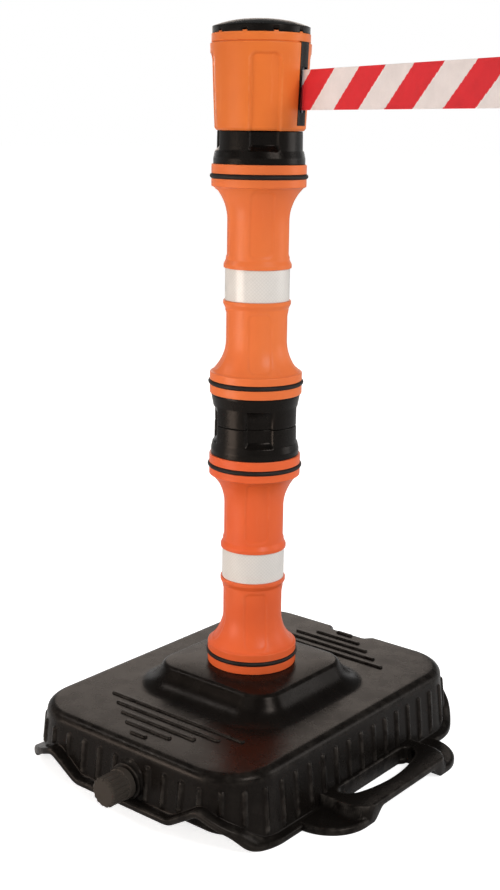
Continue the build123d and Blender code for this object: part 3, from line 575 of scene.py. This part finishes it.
def bottomCollar(c):
    # mating mouth below with the lugs' groove and entries inside it, flared top, plug above
    slack, tip = c["slack"], c["height"] + c["plugDepth"]
    roof, grooveLow = c["spigotHeight"] + slack, c["spigotHeight"] - c["lugHeight"] - slack
    inner, groove = c["spigot"] + slack, c["spigot"] + c["lug"] + slack
    outside = roundedLine([
        (inner, 0, 0.3), (c["mouth"], 0, c["mouthRound"]),
        (c["mouth"] + c["mouthLean"], c["mouthHeight"], 12.0), (c["wide"], c["height"] - 3, 1.0),
        (c["wide"], c["height"], 0.7), (c["plug"], c["height"], 0.2), (c["plug"], tip, 0.6),
        (c["bore"], tip, 0.6)])
    inside = [(c["bore"], roof), (groove, roof), (groove, grooveLow + 0.1), (inner, grooveLow)]
    grips = gripRelief(0, c["bottomGrip"], c["bottomScoop"])

    def relief(angles, radius, height):
        # grips outside, and the lugs' entries cut into the mouth's bore
        entry = abs(nearestTurn(angles, 4, np.pi / 4)) < radians(c["entryHalf"])
        inMouth = (height < grooveLow + 0.05) & (radius < inner + 0.4)
        return grips(angles, radius, height) * (radius > inner + 2) + c["lug"] * entry * inMouth
    return gridShell(turned(np.r_[spread(outside, 0.9), inside], 208, relief), wrapRows=True)


tubeShell = gridShell(turned(postProfile(post), 192, fluteRelief), wrapRows=True)
inner, outer = post["bandWall"]
bandLow, bandHigh = post["bandLow"] + post["bandGap"], post["bandHigh"] - post["bandGap"]
bandSection = roundedLine([(inner, bandLow, 0.1), (outer, bandLow, 0.25), (outer, bandHigh, 0.25),
                           (inner, bandHigh, 0.1)])
bandShell = gridShell(turned(spread(bandSection, 6.0), 160), wrapRows=True)
ringTurn = np.linspace(0, 2 * np.pi, 24, endpoint=False)
ringSection = np.c_[post["ringRadius"] + post["ringSection"] * np.cos(ringTurn),
                    post["ringSection"] * np.sin(ringTurn)]
ringShell = gridShell(turned(ringSection, 160), wrapRows=True)
postPieces = {"post_tube": (tubeShell, 0, "post_orange"), "band": (bandShell, 0, "band_white"),
              "top_collar": (topCollar(collar), post["length"], "collar_black"),
              "bottom_collar": (bottomCollar(collar), -collar["height"], "collar_black"),
              "top_ring": (ringShell, post["length"] - post["ringAt"], "rubber_black"),
              "bottom_ring": (ringShell, post["ringAt"], "rubber_black")}
for place, foot in (("lower", levels["hubTop"]), ("upper", levels["upperFoot"])):
    for kind, (shell, height, slotName) in postPieces.items():
        paler = "upper_orange" if (place, kind) == ("upper", "post_tube") else None
        makePiece(f"{place}_{kind}_piece", [lifted(shell, foot + height)], place + "_post", slotName,
                  f"{place}_{kind}", finish=paler)


# Head: tapered shell with four sunk panels, a rim, and the belt's mouth cut through it
head = {"height": 127.0, "foot": 62.4, "top": 66.4, "wallTop": 109.6, "rim": 64.8, "rimTop": 121.7,
        "groove": 63.9, "grooveLevels": (0.7, 1.3, 1.9), "rebate": 60.0, "cavity": 54.5, "lining": 54.2,
        "floor": (16.4, 20.4), "axle": 5.0, "panelHalf": 20.0, "panelTop": 96.0, "panelDepth": 4.2,
        "panelCorner": 8.0, "panelFlank": 2.8, "slotAngle": 7.5, "mouthHalf": 7.2, "mouth": (22.5, 80.5),
        "footBevel": (2.8, 3.2), "columns": 240}


def panelRelief(angles, radius, height):
    # panels on the diagonals, open at the foot, sunk by their depth within a soft window
    across = offDiagonal(angles, radius)
    tall = (head["panelTop"] + head["panelCorner"]) / 2
    sunk = softWindow(across, height - head["panelTop"] + tall, head["panelHalf"], tall, head["panelCorner"],
                      head["panelFlank"])
    return -head["panelDepth"] * sunk * (radius > head["cavity"] + 2)


def headShell(h):
    # turned shell whose quads are left out at the belt's mouth, which is then lined on its four sides
    low, high = h["mouth"]
    bevelIn, bevelUp = h["footBevel"]
    grooveLow, grooveTop, rimLow = (h["wallTop"] + step for step in h["grooveLevels"])
    outside = spread(roundedLine([
        (h["lining"], 0, 0), (h["foot"] - bevelIn, 0, 2), (h["foot"], bevelUp, 2),
        (h["top"], h["wallTop"], 1.0), (h["groove"], grooveLow, 0.3), (h["groove"], grooveTop, 0.3),
        (h["rim"], rimLow, 0.5), (h["rim"], h["rimTop"], 0.8), (h["rebate"], h["rimTop"], 0.2),
        (h["rebate"], h["height"], 0.3), (h["cavity"], h["height"], 0)], 4), 1.7)
    firstRow, lastRow = abs(outside[:, 1] - low).argmin(), abs(outside[:, 1] - high).argmin()
    outside[firstRow, 1], outside[lastRow, 1] = low, high
    floorLow, floorTop = h["floor"]
    inside = [(h["cavity"], high), (h["cavity"], low), (h["cavity"], floorTop), (h["axle"], floorTop),
              (h["axle"], floorLow), (h["lining"], floorLow)]
    cols, middle = h["columns"], radians(h["slotAngle"])
    angles = np.linspace(0, 2 * np.pi, cols, endpoint=False) + middle - np.pi
    half = np.arcsin(h["mouthHalf"] / h["top"])
    ends = [abs(angles - middle - side * half).argmin() for side in (-1, 1)]
    angles[ends] = middle + half * np.array([-1, 1])
    points = turned(np.r_[outside, inside], angles, panelRelief)
    innerHigh, innerLow = len(outside), len(outside) + 1
    keep = np.ones((len(points), cols), bool)
    keep[[*range(firstRow, lastRow), innerHigh], ends[0]:ends[1]] = False
    j = np.arange(*ends)
    first, last, roof, sole = (row * cols + j for row in (firstRow, lastRow, innerHigh, innerLow))
    sill = np.stack([first, first + 1, sole + 1, sole], -1)
    lintel = np.stack([last + 1, last, roof, roof + 1], -1)
    jamb = np.r_[np.arange(firstRow, lastRow + 1), innerHigh, innerLow] * cols
    sides = [(jamb + ends[0])[None, ::-1], (jamb + ends[1])[None, :]]
    return gridShell(points, wrapRows=True, keep=keep, extra=[sill, lintel, *sides])


lid = {"radius": 64.0, "low": -5.2, "inner": 60.3, "rim": 3.6, "crown": 2.5, "height": 14.0,
       "skirt": (51.2, 54.3, 7.0), "tabs": 10, "tabFirst": -70.0, "tabWide": 6.0, "tabTall": 1.5,
       "tabDeep": 2.3, "notch": 3.8, "notchColumns": (-3.5, -3.2, -1.2, 1.2, 3.2, 3.5), "plainFrom": 4.2,
       "gap": 0.35}


def lidShell(d):
    # skirt, rim with notches and a dome: z = height - (height - rim) * (r / radius) ^ crown
    across = np.linspace(d["radius"] - 2.5, 2.0, 26)
    dome = d["height"] - (d["height"] - d["rim"]) * (across / d["radius"]) ** d["crown"]
    low, notchTop = d["low"], d["low"] + d["notch"]
    skirtIn, skirtOut, skirtDeep = d["skirt"]
    corners = [(skirtIn, 0, 0), (skirtIn, -skirtDeep, 0.5), (skirtOut, -skirtDeep, 0.5), (skirtOut, 0.1, 0.2),
               (d["inner"], 0.1, 0), (d["inner"], low, 0.3), (d["radius"] - 1.4, low, 0),
               (d["radius"], low, 0.6), (d["radius"], notchTop - 0.1, 0), (d["radius"], notchTop + 0.1, 0),
               (d["radius"], d["rim"], 0.9)]
    corners += [(r, z, 0) for r, z in zip(across, dome)]
    plain = np.linspace(d["plainFrom"], 180 / d["tabs"], 8)  # degrees beside a notch
    offsets = np.r_[-plain[::-1], np.degrees(np.array(d["notchColumns"]) / d["radius"]), plain[:-1]]
    turns = np.arange(d["tabs"])[:, None] * 2 * np.pi / d["tabs"]
    angles = (radians(d["tabFirst"]) + np.radians(offsets)[None] + turns).ravel()

    def relief(angles, radius, height):
        # in a notch the radius falls to just behind the tab
        near = abs(nearestTurn(angles, d["tabs"], radians(d["tabFirst"]))) * d["radius"]
        notch = (near < d["tabWide"] / 2 + d["gap"]) & (height < notchTop) & (radius > d["inner"] + 1.5)
        return np.minimum(d["radius"] - d["tabDeep"] - d["gap"] - radius, 0) * notch
    points = turned(roundedLine(corners, 5), angles, relief)
    return gridShell(points, lowPole=(0, 0, 0), highPole=(0, 0, d["height"]))


def tabShells(d):
    # one block a tab: a rounded section swept through the tab's width, closed at both sides
    inner, low, top = d["radius"] - d["tabDeep"], d["low"] - 1.5, d["low"] + d["tabTall"]
    section = roundedLine([(inner, low, 0.2), (d["radius"] - 0.1, low, 0.2), (d["radius"] - 0.1, top, 0.5),
                           (inner, top, 0.4)], 3)
    half = d["tabWide"] / 2 / d["radius"]
    shells = []
    for middle in radians(d["tabFirst"]) + np.arange(d["tabs"]) * 2 * np.pi / d["tabs"]:
        points = turned(section, middle + np.linspace(-half, half, 5))
        rows = np.arange(len(section)) * 5
        caps = [rows[None, :], (rows + 4)[None, ::-1]]
        shells.append(gridShell(points, wrapRows=True, wrapCols=False, extra=caps))
    return shells


housing = [lifted(headShell(head), levels["headFoot"])]
housing += [lifted(tab, levels["lidFoot"]) for tab in tabShells(lid)]
makePiece("reel_housing", housing, "head", "head_orange", "head_housing")
makePiece("domed_lid", [lifted(lidShell(lid), levels["lidFoot"])], "head", "collar_black", "top_cap")


# Base: one surface run from the underside's middle over the lip, walls, deck and hub down into the socket
base = {"half": (203.0, 272.5), "corner": 84.0, "lean": 10.5, "deck": 98.0, "deckRound": 13.0,
        "ribRadius": 4.6, "ribProud": 3.2, "ribTop": 79.0, "ribMiddle": 64.0, "ribPitch": 29.4,
        "ribEase": 0.4, "ribCounts": (8, 13), "cornerRibs": (14.0, 35.9, 57.8, 79.7), "ribSpacing": 1.2,
        "wallSpacing": 4.4, "lipReach": 10.0, "lipHalf": 4.5, "lipRound": 3.0, "lipInset": 8.0,
        "lipFillet": 2.5, "lipCut": (20.0, 4.0, 12.0), "trayInset": 34.0, "trayRound": 9.0,
        "hubFoot": (124.0, 121.0), "hubCorner": 60.0, "hubLow": 93.5, "hubTop": 133.0, "hubCrown": 2.5,
        "hubSpread": 22.0, "hubMiddle": 80.0, "hubBlend": 36.0, "hubRound": 9.0, "notchHalf": 36.0,
        "notchDeep": 12.0, "notchLow": 52.0, "notchRise": 24.0, "notchSoft": (30.0, 8.0, 14.0),
        "socket": 61.6, "socketFloor": 85.7, "runOut": 90.0}
lipWave = {"across": (-400, -200, -183, -122, -75, 93, 140, 183, 200, 400),
           "height": (4.5, 4.5, 27, 52, 22.5, 22.5, 52, 27, 4.5, 4.5), "bend": 13.0}
handle = {"near": 195.0, "far": 271.0, "shift": 10.0, "plateHalf": 163.0, "plateRound": 62.0,
          "rootRound": 4.0, "plateTop": 10.0, "barHalf": 111.0, "barRound": 37.0, "barTop": 26.0,
          "barOver": 3.0, "flank": 5.0, "gap": (207.0, 245.0), "gapHalf": 84.0, "gapRound": 15.0, "bow": 17.0,
          "arch": 16.5, "archFrom": 213.0, "archHalf": 73.0, "archEase": 24.0, "under": 2.0, "edge": 4.0,
          "lip": 3.0}


def lipMiddle(x, wave):
    # the lip's middle over X, straight runs eased by a moving average, and how much its slope stretches it
    fine = np.arange(-300, 300, 0.1)
    window = np.hanning(int(wave["bend"] * 20))
    eased = np.convolve(np.interp(fine, wave["across"], wave["height"]), window / window.sum(), "same")
    stretch = np.sqrt(1 + np.gradient(eased, fine) ** 2)
    return np.interp(x, fine, eased), np.interp(x, fine, stretch)


def outline(box, radii, stations):
    # round-cornered rectangle: side k runs to corner k, straight for 'run' and then round it for 'turn'
    side, run, turn = stations
    x0, x1, y0, y1 = box
    corner = np.array([(x1, y1), (x0, y1), (x0, y0), (x1, y0)], float)
    normal = np.array([(1, 0), (0, 1), (-1, 0), (0, -1)], float)
    travel = np.array([(0, 1), (-1, 0), (0, -1), (1, 0)], float)
    radii = np.broadcast_to(np.asarray(radii, float), 4)[:, None]
    centre = corner - radii * (normal + travel)
    start, end = centre + radii * normal, np.roll(centre + radii * travel, 1, 0)
    quarter = (turn * np.pi / 2)[:, None]
    bend = centre[side] + radii[side] * (normal[side] * np.cos(quarter) + travel[side] * np.sin(quarter))
    flat = end[side] + (start[side] - end[side]) * run[:, None]
    return np.where(turn[:, None] > 0, bend, flat)


def outward(stations):
    # unit normals of an outline: a quarter turn a side, and a share of one more round its corner
    side, run, turn = stations
    lean = (side + turn) * np.pi / 2
    return np.stack([np.cos(lean), np.sin(lean)], -1)


def atHeight(plan, height):
    # a plan's points (x, y) with z added
    return np.c_[plan, np.broadcast_to(height, len(plan))]


def wallStations(b):
    # columns round the wall, close together on the ribs; also each column's distance from the nearest rib
    flatX, flatY = b["half"][0] - b["corner"], b["half"][1] - b["corner"]
    straight = np.array([2 * flatY, 2 * flatX, 2 * flatY, 2 * flatX])
    arc = b["corner"] * np.pi / 2
    starts = np.r_[0, np.cumsum(straight + arc)]
    acrossX, acrossY = ((np.arange(n) - (n - 1) / 2) * b["ribPitch"] for n in b["ribCounts"])
    turns = np.radians(b["cornerRibs"]) * b["corner"]
    ribs = []
    for k in range(4):
        ribs += [starts[k] + straight[k] / 2 + (acrossX if k % 2 else acrossY)]
        ribs += [starts[k] + straight[k] + (arc - turns if k % 2 else turns)]
    ribs = np.concatenate(ribs)

    def fromRib(run):
        gap = abs(run[:, None] - ribs[None, :])
        return np.minimum(gap, starts[-1] - gap).min(1)
    fine = np.linspace(0, starts[-1], 40001)
    spacing = np.where(fromRib(fine) < b["ribRadius"] + 0.8, b["ribSpacing"], b["wallSpacing"])
    filled = np.r_[0, np.cumsum(np.diff(fine) / spacing[1:])]
    run = np.interp(np.arange(int(filled[-1])) * filled[-1] / int(filled[-1]), filled, fine)
    side = np.searchsorted(starts, run, "right") - 1
    local = run - starts[side]
    stations = (side, np.clip(local / straight[side], 0, 1), np.clip((local - straight[side]) / arc, 0, 1))
    return stations, fromRib(run)


def baseShell(b, h):
    # rows of the foot's outline, moved out by so much and set at a height; the deck's blend to the hub's
    stations, fromRib = wallStations(b)
    halfX, halfY = b["half"]
    foot = outline((-halfX, halfX, -halfY, halfY), b["corner"], stations)
    out = outward(stations)
    cutEnd = h["gapHalf"] - h["gapRound"] / 2
    cut = softWindow(foot[:, 1] - h["shift"], foot[:, 0] - halfX, cutEnd, *b["lipCut"])  # at the finger gap
    reach = b["lipReach"] - cut * (halfX + b["lipReach"] - h["gap"][0])
    rows = []

    def beside(away):
        return foot + out * np.reshape(away, (-1, 1))

    def addRow(away, height):
        rows.append(atHeight(beside(away), height))

    def addLipRow(away, share):
        # share of the lip's half thickness above or below its middle, taken where the row runs
        middle, stretch = lipMiddle(beside(away)[:, 0], lipWave)
        addRow(away, middle + share * b["lipHalf"] * stretch)
    well, runOut = b["trayInset"], b["runOut"]  # a corner at the run-out only gives a direction
    tray = roundedLine([(-runOut, 0, 0), (-well, 0, b["trayRound"]), (-well, runOut, 0)], 6)[1:-1]
    for away, height in tray:
        addRow(away, height)
    middle, stretch = lipMiddle(foot[:, 0], lipWave)
    addRow(-well + 0.5, np.maximum(middle, b["trayRound"] + 1))
    inset, soft, half = b["lipInset"], b["lipRound"], b["lipHalf"]
    for away, share in ((-4, 0), (-1, 0), (0, -0.4), (0.6, -0.9), (1.6, -1), (inset, -1)):
        addLipRow(away - inset, share)
    for turn in np.radians(np.arange(-90, 91, 15)):
        share = (half - soft) / half * np.sign(turn) + soft / half * np.sin(turn)
        addLipRow(reach - soft + soft * np.cos(turn), share)
    fillet = b["lipFillet"]
    top = middle + half * stretch
    for turn in np.radians((0, 22, 45, 68, 90)):
        height = top + fillet * (1 - np.cos(turn))
        addRow(fillet * (1 - np.sin(turn)) - b["lean"] * height / b["deck"], height)
    wallLow = top + fillet
    heights = [wallLow + (b["ribMiddle"] - wallLow) * share for share in np.linspace(0, 1, 8)[1:]]
    steps = (-12, -9.5, -7.5, -6, -4.8, -3.7, -2.8, -2, -1.3, -0.7, -0.1, 0.6, 2, 4)
    heights += [b["ribTop"] + step for step in steps]  # close together at the ribs' tops
    sink, ease = b["ribRadius"] - b["ribProud"], b["ribEase"]
    scoop = softWindow(foot[:, 0], foot[:, 1] - halfY, b["notchHalf"], *b["notchSoft"])  # grip at the back

    def scoopAt(height):
        return scoop * np.clip((height - b["notchLow"]) / b["notchRise"], 0, 1) ** 2
    for height in heights:
        # rib's arc over the wall, b; it meets the wall eased, as (b + sqrt(b^2 + ease^2)) / 2
        above = np.maximum(height - b["ribTop"] + b["ribRadius"], 0)
        rise = np.sqrt(np.maximum(b["ribRadius"] ** 2 - fromRib**2 - above**2, 0)) - sink
        rise = (rise + np.hypot(rise, ease)) / 2 - (np.hypot(sink, ease) - sink) / 2
        rise = rise * (1 - scoopAt(height))
        addRow(rise - b["lean"] * height / b["deck"] - b["notchDeep"] * scoopAt(height), height)
    edge = [(0, 0, 0), (-b["lean"], b["deck"], b["deckRound"]), (-runOut, b["deck"], 0)]
    for away, height in roundedLine(edge, 10)[1:-1]:
        addRow(away - b["notchDeep"] * scoopAt(height), height)
    shoulder = b["hubTop"] - b["hubCrown"]
    slope = b["hubSpread"] / (shoulder - b["hubLow"])
    hub = roundedLine([(-runOut, b["deck"], 0), ((b["deck"] - b["hubLow"]) * slope, b["deck"], b["hubBlend"]),
                       (b["hubSpread"], shoulder, b["hubRound"]), (b["hubMiddle"], b["hubTop"], 0)], 10)[1:-1]

    def hubLine(inset):
        x, y = b["hubFoot"][0] - inset, b["hubFoot"][1] - inset
        return outline((-x, x, -y, y), b["hubCorner"] - inset, stations)

    outer, inner = rows[-1][:, :2], hubLine(hub[0, 0])
    rows += [atHeight(outer + (inner - outer) * share, b["deck"]) for share in np.linspace(0, 1, 12)[1:-1]]
    rows += [atHeight(hubLine(inset), height) for inset, height in spread(hub, 4.0)]
    rim = hubLine(hub[-1, 0])
    spokes = unit(rim)
    ring = spokes * (b["socket"] + 3)
    rows += [atHeight(rim + (ring - rim) * 0.5, b["hubTop"]), atHeight(ring, b["hubTop"])]
    socket = roundedLine([(runOut, b["hubTop"], 0), (b["socket"], b["hubTop"], 1.0),
                          (b["socket"], b["socketFloor"], 1.0), (10, b["socketFloor"], 0)], 4)[1:]
    rows += [atHeight(spokes * radius, height) for radius, height in socket]
    return gridShell(np.array(rows), lowPole=(0, 0, 0), highPole=(0, 0, b["socketFloor"]))


deckLines = {"count": 5, "first": 162.3, "pitch": 18.3, "longest": 242.0, "step": 53.0, "half": 3.9,
             "proud": 2.7, "round": 2.5}


def evenStations(facingX, facingY, corner):
    # columns for a loop: so many on each side that faces X, each that faces Y and round each corner
    counts = [facingX, facingY] * 2
    side = np.concatenate([np.full(n + corner, k) for k, n in enumerate(counts)])
    run = np.concatenate([np.r_[np.arange(n) / n, np.ones(corner)] for n in counts])
    turn = np.concatenate([np.r_[np.zeros(n), np.arange(corner) / corner] for n in counts])
    return side, run, turn


def lineShells(d):
    # low round-topped bars: the bar's outline drawn in by the section's steps, capped near its middle line
    stations = evenStations(1, 24, 10)
    section = roundedLine([(0, -1, 0), (0, d["proud"], d["round"]), (d["half"], d["proud"], 0)], 7)[:-1]
    section = np.r_[section, [(d["half"] * 0.9, d["proud"])]]
    ring = np.arange(len(stations[0]))
    caps = [ring[None, ::-1], (len(section) - 1) * len(ring) + ring[None, :]]
    shells = []
    for i in range(d["count"]):
        for end in (-1, 1):
            half, y = (d["longest"] - i * d["step"]) / 2, end * (d["first"] + i * d["pitch"])
            rows = []
            for inset, z in section:
                reach = d["half"] - inset
                box = (-half + inset, half - inset, y - reach, y + reach)
                plan = outline(box, reach * 0.98, stations)  # ends just short of half circles
                rows.append(atHeight(plan, base["deck"] + z))
            shells.append(gridShell(np.array(rows), extra=caps))
    return shells


def handleShell(h):
    # ring between the finger gap and the outer edge: rows run outwards under it, up, back over it and down
    # the gap; its underside rises at the arch and its top rises from plate to bar, both as eased windows
    stations = evenStations(150, 16, 20)
    y0, y1 = h["shift"] - h["plateHalf"], h["shift"] + h["plateHalf"]
    g0, g1 = h["shift"] - h["gapHalf"], h["shift"] + h["gapHalf"]
    corners = np.array([h["plateRound"], h["rootRound"], h["rootRound"], h["plateRound"]])

    def outerLine(inset):
        box = (h["near"] + inset, h["far"] - inset, y0 + inset, y1 - inset)
        return outline(box, np.maximum(corners - inset, 0.5), stations)

    def gapLine(away):
        # the bar's side of the gap bows in towards both ends
        box = (h["gap"][0] - away, h["gap"][1] + away, g0 - away, g1 + away)
        plan = outline(box, h["gapRound"] + away, stations)
        across = np.clip((plan[:, 0] - h["gap"][0]) / (h["gap"][1] - h["gap"][0]), 0, 1)
        plan[:, 0] -= h["bow"] * across * np.minimum(abs(plan[:, 1] - h["shift"]) / h["gapHalf"], 1) ** 2
        return plan

    def heights(plan):
        x, y, wide = plan[:, 0], plan[:, 1] - h["shift"], 100.0  # both windows run well past the handle
        low = h["arch"] * softWindow(x - h["archFrom"] - wide, y, wide, h["archHalf"], 3, h["archEase"])
        bar = softWindow(x - h["far"] - h["barOver"] + wide, y, wide, h["barHalf"], h["barRound"], h["flank"])
        return low, h["plateTop"] + (h["barTop"] - h["plateTop"]) * bar
    rows = []

    def addRow(plan, onTop, drop=0.0):
        # drop is measured into the piece, from its top or from its underside
        low, high = heights(plan)
        rows.append(atHeight(plan, high - drop if onTop else low + drop))

    def addRounded(line, radius, onTop, turns):
        for turn in np.radians(turns):
            addRow(line(radius * (1 - np.sin(turn))), onTop, radius * (1 - np.cos(turn)))
    under, edge, lip = h["under"], h["edge"], h["lip"]
    inner, outer = gapLine(under), outerLine(under)
    for share in np.linspace(0, 1, 13):
        addRow(inner + (outer - inner) * share, False)
    addRounded(outerLine, under, False, (30, 60, 90))
    addRounded(outerLine, edge, True, (90, 72, 54, 36, 18, 0))
    inner, outer = gapLine(lip), outerLine(edge)
    for share in np.linspace(0, 1, 29)[1:]:
        addRow(outer + (inner - outer) * share, True)
    addRounded(gapLine, lip, True, (22, 45, 68, 90))
    addRounded(gapLine, under, False, (90, 45))
    return gridShell(np.array(rows), wrapRows=True)


filler = {"place": (12.0, -267.25, 49.0), "root": 6.0, "neck": 14.5, "bore": 9.0, "length": 40.0,
          "collar": 25.0, "collarThick": 6.0, "capRadius": 21.3, "grip": 20.2, "capLow": 8.0, "ring": 9.0,
          "roof": 42.0, "end": 47.0, "bevel": 2.5, "inside": 14.9, "flutes": 16, "fluteRadius": 2.6,
          "fluteDepth": 1.3}


def onEndWall(points):
    # lays a piece turned about Z along -Y, out of the end wall
    x, y, z = filler["place"]
    return np.stack([x + points[..., 0], y - points[..., 2], z + points[..., 1]], -1)


def neckShell(f):
    # turned neck with a collar at the wall, rooted inside it
    line = roundedLine([
        (f["bore"], -f["root"], 0), (f["collar"] + f["root"], -f["root"], 0), (f["collar"] + 1.5, 0.4, 2.5),
        (f["collar"], 2, 0.8), (f["collar"], f["collarThick"], 1.2), (f["neck"], f["collarThick"], 0.8),
        (f["neck"], f["length"], 0.6), (f["bore"], f["length"], 0.4)], 4)
    return gridShell(onEndWall(turned(line, 96)), wrapRows=True)


def capShell(f):
    # plain ring, fluted grip and a bevelled end
    gripLow = f["capLow"] + f["ring"]
    line = roundedLine([
        (f["inside"], f["roof"], 0), (f["inside"], f["capLow"], 0.4), (f["capRadius"], f["capLow"], 0.8),
        (f["capRadius"], gripLow, 0.7), (f["grip"], gripLow + 0.8, 0.4),
        (f["grip"], f["end"] - f["bevel"], 1.0), (f["grip"] - f["bevel"], f["end"], 1.0),
        (6, f["end"], 0)], 4)

    def relief(angles, radius, height):
        # round flutes: the part of a circle's arc that reaches below the grip's surface
        across = radius * np.sin(nearestTurn(angles, f["flutes"], 0))
        cut = np.sqrt(np.maximum(f["fluteRadius"] ** 2 - across**2, 0)) - f["fluteRadius"] + f["fluteDepth"]
        return -np.maximum(cut, 0) * (radius > f["inside"] + 1.5) * np.clip(height - gripLow - 0.5, 0, 1)
    points = turned(spread(line, 3.0), 224, relief)
    flat, faces = gridShell(points, lowPole=(0, 0, f["roof"]), highPole=(0, 0, f["end"]))
    return onEndWall(flat), faces


ballast = {"wall": 4.5, "ledge": 62.0, "level": 80.0, "ease": 3.0}


def ballastShell(b, w):
    # the fill: straight up from the tray's well, out over a ledge above the lip and up to its level
    stations = evenStations(32, 24, 12)
    well, side, out = b["trayInset"] + w["wall"], b["lean"] + w["wall"] + b["notchDeep"], b["runOut"]
    section = roundedLine([
        (out, w["wall"], 0), (well, w["wall"], w["ease"]), (well, w["ledge"], w["ease"]),
        (side, w["ledge"], w["ease"]), (side, w["level"], 0.5), (out, w["level"], 0)])[1:-1]
    rows = []
    for inset, height in section:
        x, y = b["half"][0] - inset, b["half"][1] - inset
        rows.append(atHeight(outline((-x, x, -y, y), b["corner"] - inset, stations), height))
    return gridShell(np.array(rows), lowPole=(0, 0, w["wall"]), highPole=(0, 0, w["level"]))


blackPieces = {"ballast_base": [baseShell(base, handle)], "deck_ridges": lineShells(deckLines),
               "filler_neck": [neckShell(filler)], "carry_handle": [handleShell(handle)]}
for name, shells in blackPieces.items():
    makePiece(name, shells, "base", "base_black", "base_shell")
makePiece("standing_ballast", [ballastShell(base, ballast)], "base", "water", "ballast_water")
makePiece("fluted_cap", [capShell(filler)], "filler_cap", "base_black", "filler_cap", finish="cap_black")


# Studio: pale floor, white surround, soft lamps
studio = {"floorHalf": 40.0, "floorDrop": 0.0003, "floorGlow": 0.76, "ambient": 0.33, "overhead": 0.14,
          "horizon": (0.09, 0.22), "mirrorGlow": 0.12, "warm": (1.0, 0.87, 0.77), "aim": (0, 0, 0.45)}
# each lamp's place, size and power
lamps = {"key": ((2.25, -0.45, 2.0), (0.85, 0.95), 38.0), "side": ((1.9, 1.7, 1.0), (1.0, 1.0), 11.0),
         "fill": ((0.0, -3.2, 1.9), (2.4, 1.8), 10.0), "left": ((-0.75, -1.6, 0.38), (0.8, 0.66), 15.0),
         "back": ((-2.25, 2.5, 1.5), (2.0, 1.2), 15.0), "spark": ((-1.46, -0.93, 1.77), (0.4, 0.4), 5.0)}


def raysSeen(tree):
    # camera rays, and the rays that a mirror or glass sends on
    rays = nodeIn(tree, "LightPath").outputs
    passed = mathIn(tree, "MAXIMUM", rays["Is Glossy Ray"], rays["Is Transmission Ray"])
    return rays["Is Camera Ray"], passed


def paleFloor(name):
    # white to the camera where it is lit, and it keeps the shadow
    finish, tree, shader, place = startFinish(name)
    tree.nodes.remove(shader)
    camera, passed = raysSeen(tree)
    seen = mathIn(tree, "MAXIMUM", camera, mathIn(tree, "MULTIPLY", passed, studio["mirrorGlow"]))
    glow = mathIn(tree, "MULTIPLY", seen, studio["floorGlow"])
    speck = mixed(tree, noiseAt(tree, place, 30.0, 3.0), (0.80, 0.80, 0.80), (0.82, 0.82, 0.82))
    lit = nodeIn(tree, "BsdfDiffuse", {"Color": speck}).outputs[0]
    pale = nodeIn(tree, "Emission", {"Color": (1, 1, 1, 1), "Strength": glow}).outputs[0]
    both = nodeIn(tree, "AddShader", {0: lit, 1: pale}).outputs[0]
    tree.links.new(both, tree.nodes["Material Output"].inputs["Surface"])
    return finish


floorMesh = bpy.data.meshes.new("floor")
corners = np.array([(-1, -1, 0), (1, -1, 0), (1, 1, 0), (-1, 1, 0)]) * studio["floorHalf"]
floorRim = corners - np.array([0, 0, studio["floorDrop"]])
floorMesh.from_pydata(floorRim.tolist(), [], [(0, 1, 2, 3)])
floorMesh.materials.append(paleFloor("pale_floor"))
floorPiece = bpy.data.objects.new("floor", floorMesh)
scene.collection.objects.link(floorPiece)

world = bpy.data.worlds.new("surround")
world.use_nodes = True
scene.world = world
tree = world.node_tree
camera, passed = raysSeen(tree)
height = nodeIn(tree, "SeparateXYZ", {"Vector": nodeIn(tree, "TexCoord").outputs["Generated"]}).outputs["Z"]
mirrored = mapped(tree, height, *studio["horizon"], 1.0, studio["overhead"])  # white low down, dim overhead
level = nodeIn(tree, "Mix", {0: passed, 2: studio["ambient"], 3: mirrored}).outputs[0]
tree.links.new(mathIn(tree, "MAXIMUM", level, camera), tree.nodes["Background"].inputs["Strength"])
tree.nodes["Background"].inputs["Color"].default_value = (1, 1, 1, 1)

for name, (spot, size, power) in lamps.items():
    lamp = bpy.data.objects.new(name, bpy.data.lights.new(name, "AREA"))
    lamp.data.shape = "RECTANGLE"
    lamp.data.size, lamp.data.size_y = size
    lamp.data.energy = power
    lamp.data.color = studio["warm"] if name in ("left", "back") else (1.0, 1.0, 1.0)
    toPost = Vector(studio["aim"]) - Vector(spot)
    lamp.matrix_world = Matrix.Translation(spot) @ toPost.to_track_quat("-Z", "Y").to_matrix().to_4x4()
    scene.collection.objects.link(lamp)
print("studio set")
